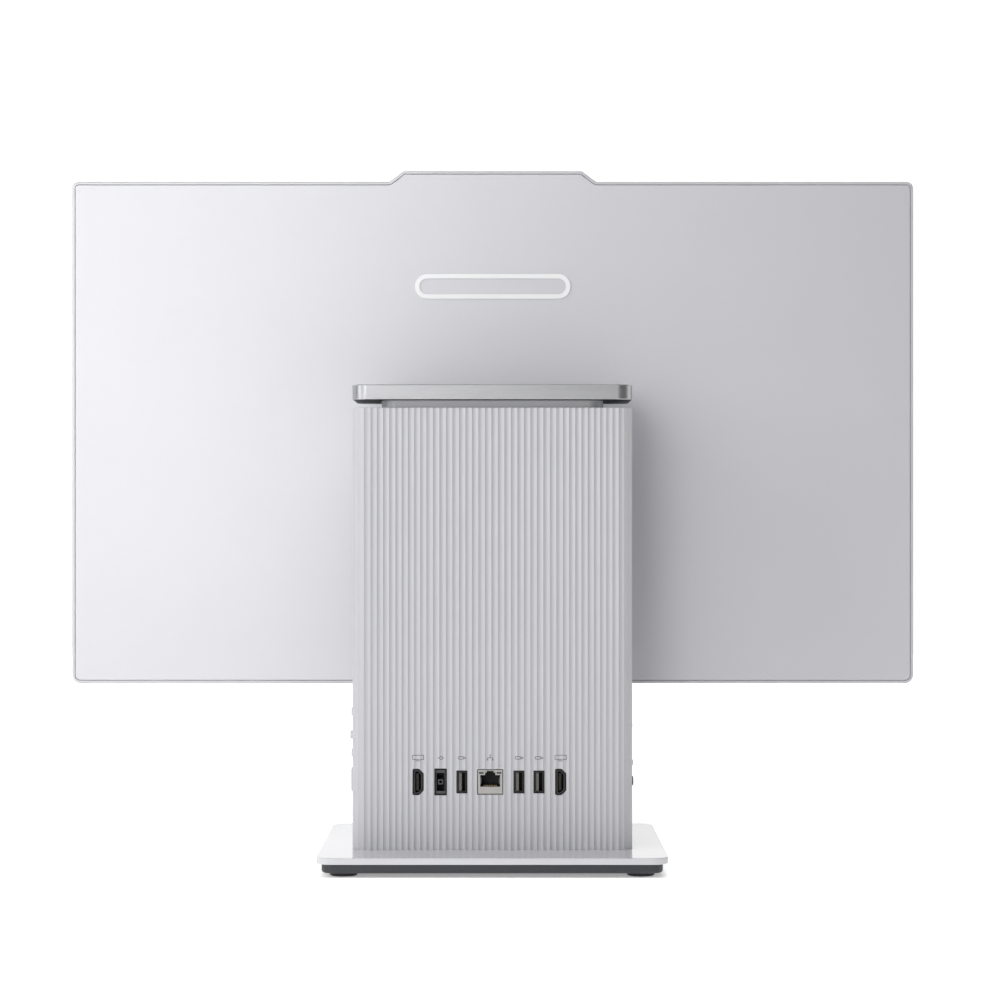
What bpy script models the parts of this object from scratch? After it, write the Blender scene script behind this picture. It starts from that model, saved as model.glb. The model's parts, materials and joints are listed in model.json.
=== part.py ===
"""All-in-one PC: a display tilting on an arm, above a fluted column that houses the computer.

Metres, +Z up. The screen faces -Y and the rear ports face +Y. The origin is on the desk, under the
middle of the base.
"""

import math

import bmesh
import bpy
from mathutils import Matrix, Vector

MM = 0.001
GAP = 0.3 * MM

# Base
BASE_WIDTH = 209 * MM
BASE_DEPTH = 185 * MM
BASE_CORNER = 10 * MM
BASE_TOP = 12 * MM
BASE_PLATE = 4 * MM
TRAY_INSET = 3.1 * MM
TRAY_BOTTOM = 2.4 * MM
TRAY_ROUND = 2 * MM
TRAY_WALL = 2 * MM
FOOT_RADIUS = 8.2 * MM
FOOT_X = 88.5 * MM
FOOT_Y = 76 * MM

# Column
COLUMN_WIDTH = 170 * MM
COLUMN_REAR = 52.5 * MM
COLUMN_FRONT = -17.5 * MM
COLUMN_TOP = 279.6 * MM
COLUMN_CORNER = 9 * MM
COLUMN_WALL = 2.4 * MM
FLUTE_DEPTH = 0.5 * MM
FLUTE_STEPS = 4
MIDDLE_FLUTES = 21
MIDDLE_PITCH = 3.93 * MM
OUTER_FLUTES = 9
OUTER_PITCH = 3.75 * MM
CORNER_FLUTES = 4
SIDE_FLUTES = 7
REAR_FLUTE_SHIFT = -1.36 * MM

# Inside the column
CHASSIS_HALF = 79.5 * MM
CHASSIS_TOP = 275 * MM
CHASSIS_FRONT = -8 * MM
CHASSIS_BACK = 29 * MM
SHEET = 1.5 * MM
BOARD_CORNERS = ((-73, 35), (73, 35), (-73, 257), (73, 257))
CABLE_X = 56 * MM
CABLE_RADIUS = 1.3 * MM

# Neck, arm and tilt hinge
NECK_WIDTH = 135 * MM
NECK_FRONT = -14 * MM
NECK_REAR = 47.5 * MM
ARM_BOTTOM = 284.6 * MM
ARM_TOP = 293.5 * MM
ARM_FRONT = -19 * MM
TILT_Y = -35 * MM
TILT_Z = 289 * MM
PIN_RADIUS = 2.5 * MM
KNUCKLE_RADIUS = 5 * MM
BORE_CLEARANCE = 0.12 * MM

# Display
DISPLAY_WIDTH = 541 * MM
DISPLAY_BOTTOM = 106.4 * MM
DISPLAY_TOP = 428.9 * MM
DISPLAY_BACK = -52.5 * MM
DISPLAY_FRONT = -66.5 * MM
BUMP_TOP = 435.8 * MM
BUMP_FOOT = 66.3 * MM
BUMP_SHOULDER = 57.3 * MM
RIM = 1.8 * MM
LOWER_CORNER = 5.5 * MM
UPPER_CORNER = 4.5 * MM
BUMP_BLEND = 3.15 * MM
REAR_COVER = 1.6 * MM
EMBLEM_Z = 361.6 * MM
GLASS_BOTTOM = 123.4 * MM
GLASS_SIDE = 3 * MM
CAMERA_Z = 430.6 * MM

# Electronics
BOARD_FRONT = 31.4 * MM
BOARD_BACK = 33 * MM
PORT_Z = 53.1 * MM
PORT_FACE = 51.9 * MM
SIDE_Y = 38 * MM
BUTTON_RADIUS = 2.4 * MM
COLLAR_RADIUS = 3.3 * MM
SIDE_USB_Z = 53.6 * MM
LIGHT_Z = 86.2 * MM
USB_C_Z = 63.9 * MM
JACK_Z = 52.6 * MM
REAR_PORTS = (
    ("hdmi_output", "hdmi", 44.9 * MM), ("power_inlet", "dc", 31.3 * MM),
    ("usb_port_1", "usb", 18.4 * MM), ("lan_port", "lan", 1.3 * MM),
    ("usb_port_2", "usb", -16.15 * MM), ("usb_port_3", "usb", -28.25 * MM),
    ("hdmi_input", "hdmi", -41.35 * MM),
)
SIDE_BUTTONS = (
    ("menu_button", 94.8 * MM, 0.9 * MM), ("power_button", 80.8 * MM, 1.6 * MM),
    ("input_button", 69.8 * MM, 0.9 * MM),
)
COOLER_Z = 175 * MM
FAN_SIDE = 80 * MM
FAN_FRONT = -8.5 * MM
FAN_BACK = 6.5 * MM
FAN_BLADES = 7

parts = None
cutters = None
materials = {}


# --- scene and materials -------------------------------------------------------------------------


def start_scene():
    """Empties the scene and makes the two collections."""
    global parts, cutters
    for old in list(bpy.data.objects):
        bpy.data.objects.remove(old, do_unlink=True)
    parts = bpy.data.collections.new("all_in_one_pc")
    cutters = bpy.data.collections.new("cutters")
    bpy.context.scene.collection.children.link(parts)
    bpy.context.scene.collection.children.link(cutters)


def make_material(name, colour, roughness, metallic=0.0):
    made = bpy.data.materials.new(name)
    made.use_nodes = True
    shader = made.node_tree.nodes["Principled BSDF"]
    shader.inputs["Base Color"].default_value = (*colour, 1.0)
    shader.inputs["Roughness"].default_value = roughness
    shader.inputs["Metallic"].default_value = metallic
    materials[name] = made


def make_materials():
    make_material("silver_plastic", (0.62, 0.62, 0.64), 0.4)
    make_material("fluted_plastic", (0.55, 0.56, 0.58), 0.45)
    make_material("rim_plastic", (0.58, 0.58, 0.6), 0.35)
    make_material("brushed_aluminium", (0.6, 0.6, 0.61), 0.3, 1.0)
    make_material("plate_paint", (0.7, 0.7, 0.73), 0.3, 0.4)
    make_material("dark_plastic", (0.06, 0.065, 0.075), 0.5)
    make_material("rubber", (0.03, 0.03, 0.035), 0.8)
    make_material("steel", (0.5, 0.5, 0.52), 0.35, 1.0)
    make_material("black_plastic", (0.015, 0.015, 0.017), 0.4)
    make_material("nickel", (0.62, 0.6, 0.57), 0.3, 1.0)
    make_material("panel_metal", (0.5, 0.5, 0.5), 0.36, 1.0)
    make_material("circuit_board", (0.01, 0.05, 0.03), 0.5)
    make_material("chip", (0.02, 0.02, 0.02), 0.5)
    make_material("screen", (0.005, 0.005, 0.006), 0.15)
    make_material("emblem", (0.85, 0.85, 0.86), 0.25)


# --- shape helpers -------------------------------------------------------------------------------


def adopt(name, data, material):
    """A new object among the parts."""
    made = bpy.data.objects.new(name, data)
    parts.objects.link(made)
    if material:
        data.materials.append(materials[material])
    return made


def face_outwards(bm):
    bmesh.ops.recalc_face_normals(bm, faces=bm.faces)
    if bm.calc_volume(signed=True) < 0:
        bmesh.ops.reverse_faces(bm, faces=bm.faces)


def finished(name, bm, material):
    face_outwards(bm)
    mesh = bpy.data.meshes.new(name)
    bm.to_mesh(mesh)
    bm.free()
    return adopt(name, mesh, material)


def box(name, low, high, material=None):
    bm = bmesh.new()
    size = [b - a for a, b in zip(low, high)]
    middle = [(a + b) / 2 for a, b in zip(low, high)]
    place = Matrix.Translation(middle) @ Matrix.Diagonal((*size, 1.0))
    bmesh.ops.create_cube(bm, size=1.0, matrix=place)
    return finished(name, bm, material)


def turn_to(axis):
    """The rotation that takes +Z to the named axis."""
    if axis == "X":
        return Matrix.Rotation(math.pi / 2, 4, "Y")
    if axis == "Y":
        return Matrix.Rotation(-math.pi / 2, 4, "X")
    return Matrix.Identity(4)


def cylinder(name, centre, radius, length, axis="Z", material=None, segments=24):
    bm = bmesh.new()
    place = Matrix.Translation(centre) @ turn_to(axis)
    bmesh.ops.create_cone(
        bm, cap_ends=True, segments=segments, radius1=radius, radius2=radius, depth=length,
        matrix=place,
    )
    return finished(name, bm, material)


def solid_of(curve_object, name, material, place):
    """The curve object's solid as a welded mesh object; the curve is removed."""
    graph = bpy.context.evaluated_depsgraph_get()
    mesh = bpy.data.meshes.new_from_object(curve_object.evaluated_get(graph))
    mesh.name = name
    bpy.data.objects.remove(curve_object, do_unlink=True)
    bm = bmesh.new()
    bm.from_mesh(mesh)
    bmesh.ops.remove_doubles(bm, verts=bm.verts, dist=1e-6)
    for vert in bm.verts:
        vert.co = place(vert.co)
    face_outwards(bm)
    bm.to_mesh(mesh)
    bm.free()
    mesh.materials.clear()
    return adopt(name, mesh, material)


def prism(name, outlines, low, high, axis, material=None):
    """A flat outline, with the later ones as holes, extruded from low to high along the axis.

    The outline's two coordinates are (x, y) along Z, (x, z) along Y and (y, z) along X.
    """
    curve = bpy.data.curves.new(name, "CURVE")
    curve.dimensions = "2D"
    curve.fill_mode = "BOTH"
    curve.extrude = (high - low) / 2
    for outline in outlines:
        spline = curve.splines.new("POLY")
        spline.points.add(len(outline) - 1)
        for point, (u, v) in zip(spline.points, outline):
            point.co = (u, v, 0, 1)
        spline.use_cyclic_u = True
    flat = adopt(name + "_outline", curve, None)
    middle = (low + high) / 2

    def place(co):
        if axis == "X":
            return Vector((middle + co.z, co.x, co.y))
        if axis == "Y":
            return Vector((co.x, middle + co.z, co.y))
        return Vector((co.x, co.y, middle + co.z))

    return solid_of(flat, name, material, place)


def tube(name, points, radius, material):
    """A round tube along a smooth curve through the points."""
    curve = bpy.data.curves.new(name, "CURVE")
    curve.dimensions = "3D"
    curve.bevel_depth = radius
    curve.bevel_resolution = 2
    curve.use_fill_caps = True
    spline = curve.splines.new("POLY")
    route = smooth_route([Vector(p) for p in points])
    spline.points.add(len(route) - 1)
    for point, co in zip(spline.points, route):
        point.co = (*co, 1)
    wire = adopt(name + "_route", curve, None)
    return solid_of(wire, name, material, Vector)


def smooth_route(points, steps=5):
    """Catmull-Rom points through a route."""
    ends = [points[0] * 2 - points[1]] + points + [points[-1] * 2 - points[-2]]
    route = []
    for a, b, c, d in zip(ends, ends[1:], ends[2:], ends[3:]):
        for step in range(steps):
            t = step / steps
            curve = (c - a) * t + (2 * a - 5 * b + 4 * c - d) * t**2 + (3 * b - a - 3 * c + d) * t**3
            route.append(b + curve / 2)
    return route + [points[-1]]


def rectangle(width, low, high, radius):
    """Corners of a rounded rectangle centred on u = 0, as (u, v, radius)."""
    half = width / 2
    return [(-half, low, radius), (half, low, radius), (half, high, radius), (-half, high, radius)]


def rounded(corners, steps=4):
    """An outline with an arc at each corner (u, v, radius), given anticlockwise."""
    outline = []
    for index, (u, v, radius) in enumerate(corners):
        here = Vector((u, v))
        before = Vector(corners[index - 1][:2])
        after = Vector(corners[(index + 1) % len(corners)][:2])
        to_before = (before - here).normalized()
        to_after = (after - here).normalized()
        if radius <= 0:
            outline.append(here)
            continue
        opening = to_before.angle(to_after)
        reach = radius / math.tan(opening / 2)
        centre = here + (to_before + to_after).normalized() * radius / math.sin(opening / 2)
        first = here + to_before * reach - centre
        turn = first.angle_signed(here + to_after * reach - centre)
        for step in range(steps + 1):
            angle = -turn * step / steps
            turned = Vector((
                first.x * math.cos(angle) - first.y * math.sin(angle),
                first.x * math.sin(angle) + first.y * math.cos(angle),
            ))
            outline.append(centre + turned)
    return [(p.x, p.y) for p in outline]


def inset(corners, distance):
    """The corners moved inwards by a distance, with each radius to match."""
    moved = []
    for index, (u, v, radius) in enumerate(corners):
        here = Vector((u, v))
        into = (here - Vector(corners[index - 1][:2])).normalized()
        out = (Vector(corners[(index + 1) % len(corners)][:2]) - here).normalized()
        mitre = Vector((-into.y - out.y, into.x + out.x)).normalized()
        reach = distance / mitre.dot(Vector((-out.y, out.x)))
        hollow = into.x * out.y - into.y * out.x < 0
        changed = radius + distance if hollow else max(radius - distance, 0.4 * MM)
        moved.append((*(here + mitre * reach), changed if radius else 0))
    return moved


def circle(u, v, radius, segments=24):
    turns = [2 * math.pi * k / segments for k in range(segments)]
    return [(u + radius * math.cos(a), v + radius * math.sin(a)) for a in turns]


def rect(u, v, width, height):
    return [
        (u - width / 2, v - height / 2), (u + width / 2, v - height / 2),
        (u + width / 2, v + height / 2), (u - width / 2, v + height / 2),
    ]


def boolean(target, other, operation, solver):
    """Cuts or joins another solid, which becomes a hidden cutter."""
    parts.objects.unlink(other)
    cutters.objects.link(other)
    other.hide_render = True
    other.display_type = "WIRE"
    change = target.modifiers.new(operation.lower(), "BOOLEAN")
    change.operation = operation
    change.object = other
    change.solver = solver


def cut(target, *others, solver="EXACT"):
    for other in others:
        boolean(target, other, "DIFFERENCE", solver)


def join(target, *others, solver="EXACT"):
    for other in others:
        boolean(target, other, "UNION", solver)


def merged(name, solids):
    """Several separate solids as one mesh object, to cut or join with in one step."""
    bm = bmesh.new()
    for solid in solids:
        bm.from_mesh(solid.data)
        bpy.data.objects.remove(solid, do_unlink=True)
    mesh = bpy.data.meshes.new(name)
    bm.to_mesh(mesh)
    bm.free()
    return adopt(name, mesh, None)


def round_edges(target, width, segments, chosen):
    """Makes flat faces whole, then bevels each edge whose two ends both pass the chosen test."""
    mesh = target.data
    bm = bmesh.new()
    bm.from_mesh(mesh)
    bmesh.ops.dissolve_limit(bm, angle_limit=math.radians(0.1), verts=bm.verts, edges=bm.edges)
    bm.to_mesh(mesh)
    bm.free()
    weights = mesh.attributes.new("bevel_weight_edge", "FLOAT", "EDGE")
    for edge, weight in zip(mesh.edges, weights.data):
        ends = [mesh.vertices[index].co for index in edge.vertices]
        weight.value = 1.0 if all(chosen(end) for end in ends) else 0.0
    bevel = target.modifiers.new("rounded_edges", "BEVEL")
    bevel.limit_method = "WEIGHT"
    bevel.width = width
    bevel.segments = segments


def near(value, target):
    return abs(value - target) < 0.01 * MM


def hang_on(name, location, pieces):
    """An empty on a joint's axis, with the joint's pieces under it."""
    pivot = bpy.data.objects.new(name, None)
    pivot.location = location
    parts.objects.link(pivot)
    for piece in pieces:
        piece.parent = pivot
        piece.matrix_parent_inverse = Matrix.Translation(location).inverted()


# --- base ----------------------------------------------------------------------------------------


def base_corners():
    return rectangle(BASE_WIDTH, -BASE_DEPTH / 2, BASE_DEPTH / 2, BASE_CORNER)


def make_base_plate():
    bottom = BASE_TOP - BASE_PLATE
    outline = rounded(base_corners(), 6)
    plate = prism("base_plate", [outline], bottom, BASE_TOP, "Z", "plate_paint")
    round_edges(plate, 0.5 * MM, 2, lambda p: near(p.z, BASE_TOP) or near(p.z, bottom))


def make_base_tray():
    """The dark tray under the plate, open upwards for the weight, rounded along its lower edge."""
    top = BASE_TOP - BASE_PLATE - GAP
    outer = inset(base_corners(), TRAY_INSET)
    tray = prism("base_tray", [rounded(outer, 6)], TRAY_BOTTOM, top, "Z", "dark_plastic")
    round_edges(tray, TRAY_ROUND, 4, lambda p: near(p.z, TRAY_BOTTOM))
    inner = rounded(inset(outer, TRAY_WALL + 2.6 * MM), 4)
    floor = TRAY_BOTTOM + 1.4 * MM
    cut(tray, prism("tray_pocket", [inner], floor, top + 1 * MM, "Z"))
    weight = rounded(inset(outer, TRAY_WALL + 2.6 * MM + GAP), 4)
    prism("base_weight", [weight], floor + GAP, top - GAP, "Z", "steel")


def make_feet():
    height = TRAY_BOTTOM - GAP
    for end, y in (("front", -FOOT_Y), ("rear", FOOT_Y)):
        for side, x in (("left", -FOOT_X), ("right", FOOT_X)):
            name = f"foot_{end}_{side}"
            centre = (x, y, height / 2)
            foot = cylinder(name, centre, FOOT_RADIUS, height, "Z", "rubber")
            round_edges(foot, 0.6 * MM, 2, lambda p: near(p.z, 0))


# --- column --------------------------------------------------------------------------------------


def column_half_length():
    """Half the depth of the flat side of the column, which each shell covers."""
    return (COLUMN_REAR - COLUMN_FRONT) / 2 - COLUMN_CORNER


def point_on_column(travel):
    """The point and outward normal at a distance along the rear half's outline, from +X to -X."""
    side = column_half_length()
    flat = COLUMN_WIDTH - 2 * COLUMN_CORNER
    arc = COLUMN_CORNER * math.pi / 2
    middle = (COLUMN_REAR + COLUMN_FRONT) / 2
    half = COLUMN_WIDTH / 2
    if travel <= side:
        return Vector((half, middle + travel)), Vector((1, 0))
    travel -= side
    for corner_x, first in ((flat / 2, 0.0), (-flat / 2, math.pi / 2)):
        if travel <= arc:
            angle = first + travel / COLUMN_CORNER
            normal = Vector((math.cos(angle), math.sin(angle)))
            centre = Vector((corner_x, COLUMN_REAR - COLUMN_CORNER))
            return centre + normal * COLUMN_CORNER, normal
        travel -= arc
        if first == 0.0 and travel <= flat:
            return Vector((flat / 2 - travel, COLUMN_REAR)), Vector((0, 1))
        if first == 0.0:
            travel -= flat
    return Vector((-half, middle + side - travel)), Vector((-1, 0))


def ridge_places(shift):
    """Distances along the outline of the ridges between flutes, the rear row moved by shift."""
    side = column_half_length()
    arc = COLUMN_CORNER * math.pi / 2
    total = 2 * side + 2 * arc + COLUMN_WIDTH - 2 * COLUMN_CORNER
    row = MIDDLE_FLUTES * MIDDLE_PITCH + 2 * OUTER_FLUTES * OUTER_PITCH
    first = (total - row) / 2 - shift
    places = [side * k / SIDE_FLUTES for k in range(SIDE_FLUTES)]
    places += [side + (first - side) * k / CORNER_FLUTES for k in range(CORNER_FLUTES)]
    here = first
    for pitch, count in (
        (OUTER_PITCH, OUTER_FLUTES), (MIDDLE_PITCH, MIDDLE_FLUTES), (OUTER_PITCH, OUTER_FLUTES),
    ):
        for _ in range(count):
            places.append(here)
            here += pitch
    rest = total - side - here
    places += [here + rest * k / CORNER_FLUTES for k in range(CORNER_FLUTES)]
    places += [total - side + side * k / SIDE_FLUTES for k in range(SIDE_FLUTES + 1)]
    return places


def fluted_half(shift):
    """The outline of the rear half-shell, flutes outside and plain inside, split at mid depth."""
    outline = []
    places = ridge_places(shift)
    for start, end in zip(places, places[1:]):
        for step in range(FLUTE_STEPS):
            t = step / FLUTE_STEPS
            point, normal = point_on_column(start + (end - start) * t)
            outline.append(point - normal * FLUTE_DEPTH * 4 * t * (1 - t))
    outline.append(point_on_column(places[-1])[0])
    seam = (COLUMN_REAR + COLUMN_FRONT) / 2 + GAP / 2
    for index in (0, -1):
        outline[index].y = seam
    half = COLUMN_WIDTH / 2 - COLUMN_WALL
    corners = [
        (-half, seam, 0), (half, seam, 0),
        (half, COLUMN_REAR - COLUMN_WALL, COLUMN_CORNER - COLUMN_WALL),
        (-half, COLUMN_REAR - COLUMN_WALL, COLUMN_CORNER - COLUMN_WALL),
    ]
    inner = rounded(corners, 4)
    inner = [inner[0]] + inner[:0:-1]
    return [(p.x, p.y) for p in outline] + inner


def port_outline(kind, x, grow=0.0):
    """The outline of a rear connector in (x, z), grown for its cut-out."""
    width, height = {
        "hdmi": (6.0 * MM, 15.2 * MM), "usb": (5.9 * MM, 13.1 * MM),
        "dc": (6.8 * MM, 15.5 * MM), "lan": (15.1 * MM, 14.6 * MM),
    }[kind]
    right = x + width / 2 + grow
    left = x - width / 2 - grow
    top = PORT_Z + height / 2 + grow
    bottom = PORT_Z - height / 2 - grow
    if kind != "hdmi":
        return [(left, bottom), (right, bottom), (right, top), (left, top)]
    slope = 2.6 * MM
    return [
        (left, bottom + slope), (left + slope, bottom), (right, bottom),
        (right, top), (left + slope, top), (left, top - slope),
    ]


def make_column_rear():
    """The fluted rear shell, with cut-outs for the rear ports and for what the sides hold."""
    bottom = BASE_TOP + GAP
    shell = prism(
        "column_rear_shell", [fluted_half(REAR_FLUTE_SHIFT)], bottom, COLUMN_TOP, "Z",
        "fluted_plastic",
    )
    low, high = COLUMN_REAR - 4 * MM, COLUMN_REAR + 1 * MM
    windows = [
        prism(name + "_window", [port_outline(kind, x, 0.4 * MM)], low, high, "Y")
        for name, kind, x in REAR_PORTS
    ]
    inside = COLUMN_WIDTH / 2 - COLUMN_WALL - 1 * MM
    outside = COLUMN_WIDTH / 2 + 1 * MM
    for name, z, _ in SIDE_BUTTONS:
        hole = circle(SIDE_Y, z, BUTTON_RADIUS + 0.25 * MM, 16)
        windows.append(prism(name + "_hole", [hole], inside, outside, "X"))
    side_port = rect(SIDE_Y, SIDE_USB_Z, 7.0 * MM, 14.6 * MM)
    windows.append(prism("side_usb_hole", [side_port], inside, outside, "X"))
    for name, z, outline in (
        ("light_hole", LIGHT_Z, circle(SIDE_Y, LIGHT_Z, 1.3 * MM, 12)),
        ("usb_c_hole", USB_C_Z, usb_c_outline(9.5 * MM, 3.9 * MM)),
        ("jack_hole", JACK_Z, circle(SIDE_Y, JACK_Z, 3.2 * MM, 16)),
    ):
        windows.append(prism(name, [outline], -outside, -inside, "X"))
    cut(shell, merged("rear_windows", windows), solver="MANIFOLD")


def valleys(reach):
    """The x of every second flute's middle on the front, out to a reach each side."""
    places = ridge_places(0.0)
    middles = [point_on_column((a + b) / 2) for a, b in zip(places, places[1:])]
    row = [point.x for point, normal in middles if normal.y == 1]
    return [x for x in row[len(row) // 2 % 2::2] if abs(x) <= reach]


def make_column_front():
    """The fluted front shell, with air slots low down and in front of the fan."""
    outline = [(x, COLUMN_REAR + COLUMN_FRONT - y) for x, y in fluted_half(0.0)]
    bottom = BASE_TOP + GAP
    shell = prism(
        "column_front_shell", [outline], bottom, COLUMN_TOP, "Z", "fluted_plastic"
    )
    slots = []
    low, high = COLUMN_FRONT - 1 * MM, COLUMN_FRONT + 4 * MM
    for reach, z, height in ((66 * MM, 40 * MM, 30 * MM), (FAN_SIDE / 2, COOLER_Z, 70 * MM)):
        for x in valleys(reach):
            slots.append(prism("air_slot", [rect(x, z, 2.6 * MM, height)], low, high, "Y"))
    cut(shell, merged("front_slots", slots), solver="MANIFOLD")


def make_column_cap():
    """The cap that closes the column's top round the neck."""
    seat = COLUMN_WALL + GAP
    corners = inset(
        rectangle(COLUMN_WIDTH, COLUMN_FRONT, COLUMN_REAR, COLUMN_CORNER), seat
    )
    hole = rounded(inset(neck_corners(), -GAP), 5)
    top = COLUMN_TOP - GAP
    prism("column_cap", [rounded(corners, 4), hole], top - 2.4 * MM, top, "Z", "silver_plastic")


# --- inside the column ---------------------------------------------------------------------------

def make_chassis():
    """A steel frame with a flange for the mainboard, and a standoff at each corner."""
    bottom = BASE_TOP + GAP
    middle = (bottom + CHASSIS_TOP) / 2
    height = CHASSIS_TOP - bottom
    outer = rect(0, middle, 2 * CHASSIS_HALF, height)
    frame = prism("chassis_frame", [outer], CHASSIS_FRONT, CHASSIS_BACK, "Y", "steel")
    inner = rect(0, middle, 2 * CHASSIS_HALF - 3 * MM, height - 4 * MM)
    narrow = rect(0, middle, 2 * CHASSIS_HALF - 21 * MM, height - 24 * MM)
    flange = CHASSIS_BACK - SHEET
    cable_hole = rect(CABLE_X, 5 * MM, 10 * MM, 14 * MM)
    cut(
        frame,
        prism("chassis_inside", [inner], CHASSIS_FRONT - 1 * MM, flange, "Y"),
        prism("chassis_window", [narrow], flange - 1 * MM, CHASSIS_BACK + 1 * MM, "Y"),
        prism("chassis_cable_hole", [cable_hole], CHASSIS_TOP - 4 * MM, CHASSIS_TOP + 1 * MM, "Z"),
    )
    end = BOARD_FRONT - GAP
    start = CHASSIS_BACK - 1 * MM
    for x, z in BOARD_CORNERS:
        centre = (x * MM, (start + end) / 2, z * MM)
        join(frame, cylinder("standoff", centre, 2.6 * MM, end - start, "Y", segments=10))


def make_mainboard():
    outline = rounded(rectangle(154 * MM, 28 * MM, 264 * MM, 1.5 * MM), 2)
    holes = [circle(x * MM, z * MM, 1.6 * MM, 8) for x, z in BOARD_CORNERS]
    prism("mainboard", [outline] + holes, BOARD_FRONT, BOARD_BACK, "Y", "circuit_board")
    box(
        "button_board",
        (77 * MM, 34 * MM, 64 * MM), (78.2 * MM, 46 * MM, 103 * MM), "circuit_board",
    )


def make_processor():
    seat = BOARD_FRONT - GAP
    socket = box(
        "processor", (-22 * MM, seat - 3 * MM, COOLER_Z - 22 * MM),
        (22 * MM, seat, COOLER_Z + 22 * MM), "chip",
    )
    join(socket, box(
        "processor_lid", (-15 * MM, seat - 4 * MM, COOLER_Z - 15 * MM),
        (15 * MM, seat - 2 * MM, COOLER_Z + 15 * MM),
    ))


def make_heat_sink():
    """A base plate on the processor, with upright fins."""
    back = BOARD_FRONT - 2 * GAP - 4 * MM
    plate_front = back - 4 * MM
    tip = FAN_BACK + GAP
    half = 38 * MM
    fins = 13
    thick = 1.6 * MM
    pitch = (2 * half - thick) / (fins - 1)
    outline = [(-half, back), (half, back)]
    for k in range(fins - 1, -1, -1):
        left = -half + k * pitch
        right = left + thick
        if k < fins - 1:
            outline.append((right, plate_front))
        outline += [(right, tip), (left, tip)]
        if k > 0:
            outline.append((left, plate_front))
    prism("heat_sink", [outline], COOLER_Z - half, COOLER_Z + half, "Z", "brushed_aluminium")


def make_fan():
    """A square housing with three struts to its motor plate, and the bladed rotor."""
    half = FAN_SIDE / 2
    corners = rectangle(FAN_SIDE, COOLER_Z - half, COOLER_Z + half, 4 * MM)
    duct = circle(0, COOLER_Z, half - 2.5 * MM, 32)
    housing = prism(
        "fan_housing", [rounded(corners, 3), duct], FAN_FRONT, FAN_BACK, "Y", "black_plastic"
    )
    struts = []
    for k in range(3):
        strut = box(
            "fan_strut", (-2 * MM, FAN_BACK - 1.7 * MM, 8 * MM),
            (2 * MM, FAN_BACK - 0.3 * MM, half - 1 * MM),
        )
        spin = Matrix.Rotation(2 * math.pi * k / 3, 4, "Y")
        strut.data.transform(Matrix.Translation((0, 0, COOLER_Z)) @ spin)
        struts.append(strut)
    plate_centre = (0, FAN_BACK - 1 * MM, COOLER_Z)
    motor_plate = cylinder("motor_plate", plate_centre, 14 * MM, 2 * MM, "Y")
    join(housing, motor_plate, *struts, solver="MANIFOLD")

    hub_length = 11 * MM
    hub_middle = FAN_BACK - 2.8 * MM - hub_length / 2
    rotor = cylinder(
        "fan_rotor", (0, hub_middle, COOLER_Z), 13.5 * MM, hub_length, "Y", "black_plastic"
    )
    blades = []
    for k in range(FAN_BLADES):
        blade = box("blade", (-10 * MM, -0.5 * MM, 11 * MM), (10 * MM, 0.5 * MM, 36 * MM))
        pitch = Matrix.Rotation(math.radians(30), 4, "Z")
        spin = Matrix.Rotation(2 * math.pi * k / FAN_BLADES, 4, "Y")
        place = Matrix.Translation((0, hub_middle, COOLER_Z))
        blade.data.transform(place @ spin @ pitch)
        blades.append(blade)
    join(rotor, merged("fan_blades", blades))
    hang_on("fan_axis", (0, hub_middle, COOLER_Z), [rotor])


def make_cards():
    """Memory, drive, wireless card and coin cell on the front of the mainboard."""
    seat = BOARD_FRONT - GAP
    socket = box(
        "memory_socket", (-36 * MM, seat - 9 * MM, 118 * MM), (36 * MM, seat, 126 * MM), "chip"
    )
    for number, depth in ((1, 3.2 * MM), (2, 7.4 * MM)):
        slot = box(
            "memory_slot", (-34.2 * MM, seat - depth - 0.3 * MM, 116 * MM),
            (34.2 * MM, seat - depth + 1.5 * MM, 121 * MM),
        )
        cut(socket, slot)
        box(
            f"memory_module_{number}", (-33.8 * MM, seat - depth, 90 * MM),
            (33.8 * MM, seat - depth + 1.2 * MM, 120 * MM), "circuit_board",
        )
    under = seat - 0.6 * MM
    box(
        "solid_state_drive", (-66 * MM, seat - 3 * MM, 32 * MM), (-44 * MM, under, 112 * MM), "chip"
    )
    box(
        "wireless_card", (44 * MM, seat - 2.8 * MM, 90 * MM), (66 * MM, under, 120 * MM),
        "circuit_board",
    )
    cylinder("coin_cell", (55 * MM, seat - 1.6 * MM, 62 * MM), 10 * MM, 3.2 * MM, "Y", "nickel")


# --- connectors ----------------------------------------------------------------------------------


def make_rear_ports():
    back = BOARD_BACK + GAP
    for name, kind, x in REAR_PORTS:
        material = "nickel" if kind == "lan" else "black_plastic"
        port = prism(name, [port_outline(kind, x)], back, PORT_FACE, "Y", material)
        cavity = {
            "hdmi": [port_outline("hdmi", x, -0.8 * MM)],
            "usb": [rect(x, PORT_Z, 4.6 * MM, 12 * MM)],
            "dc": [rect(x, PORT_Z, 4.9 * MM, 11 * MM), rect(x, PORT_Z, 3.2 * MM, 3.2 * MM)],
            "lan": [lan_outline(x)],
        }[kind]
        cut(port, prism(name + "_cavity", cavity, PORT_FACE - 12 * MM, PORT_FACE + 1 * MM, "Y"))
        tongue = {
            "hdmi": rect(x + 0.3 * MM, PORT_Z, 1.2 * MM, 10.6 * MM),
            "usb": rect(x + 1.0 * MM, PORT_Z, 1.7 * MM, 11 * MM),
        }.get(kind)
        if tongue:
            low, high = PORT_FACE - 13 * MM, PORT_FACE - 0.8 * MM
            join(port, prism(name + "_tongue", [tongue], low, high, "Y"))


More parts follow.
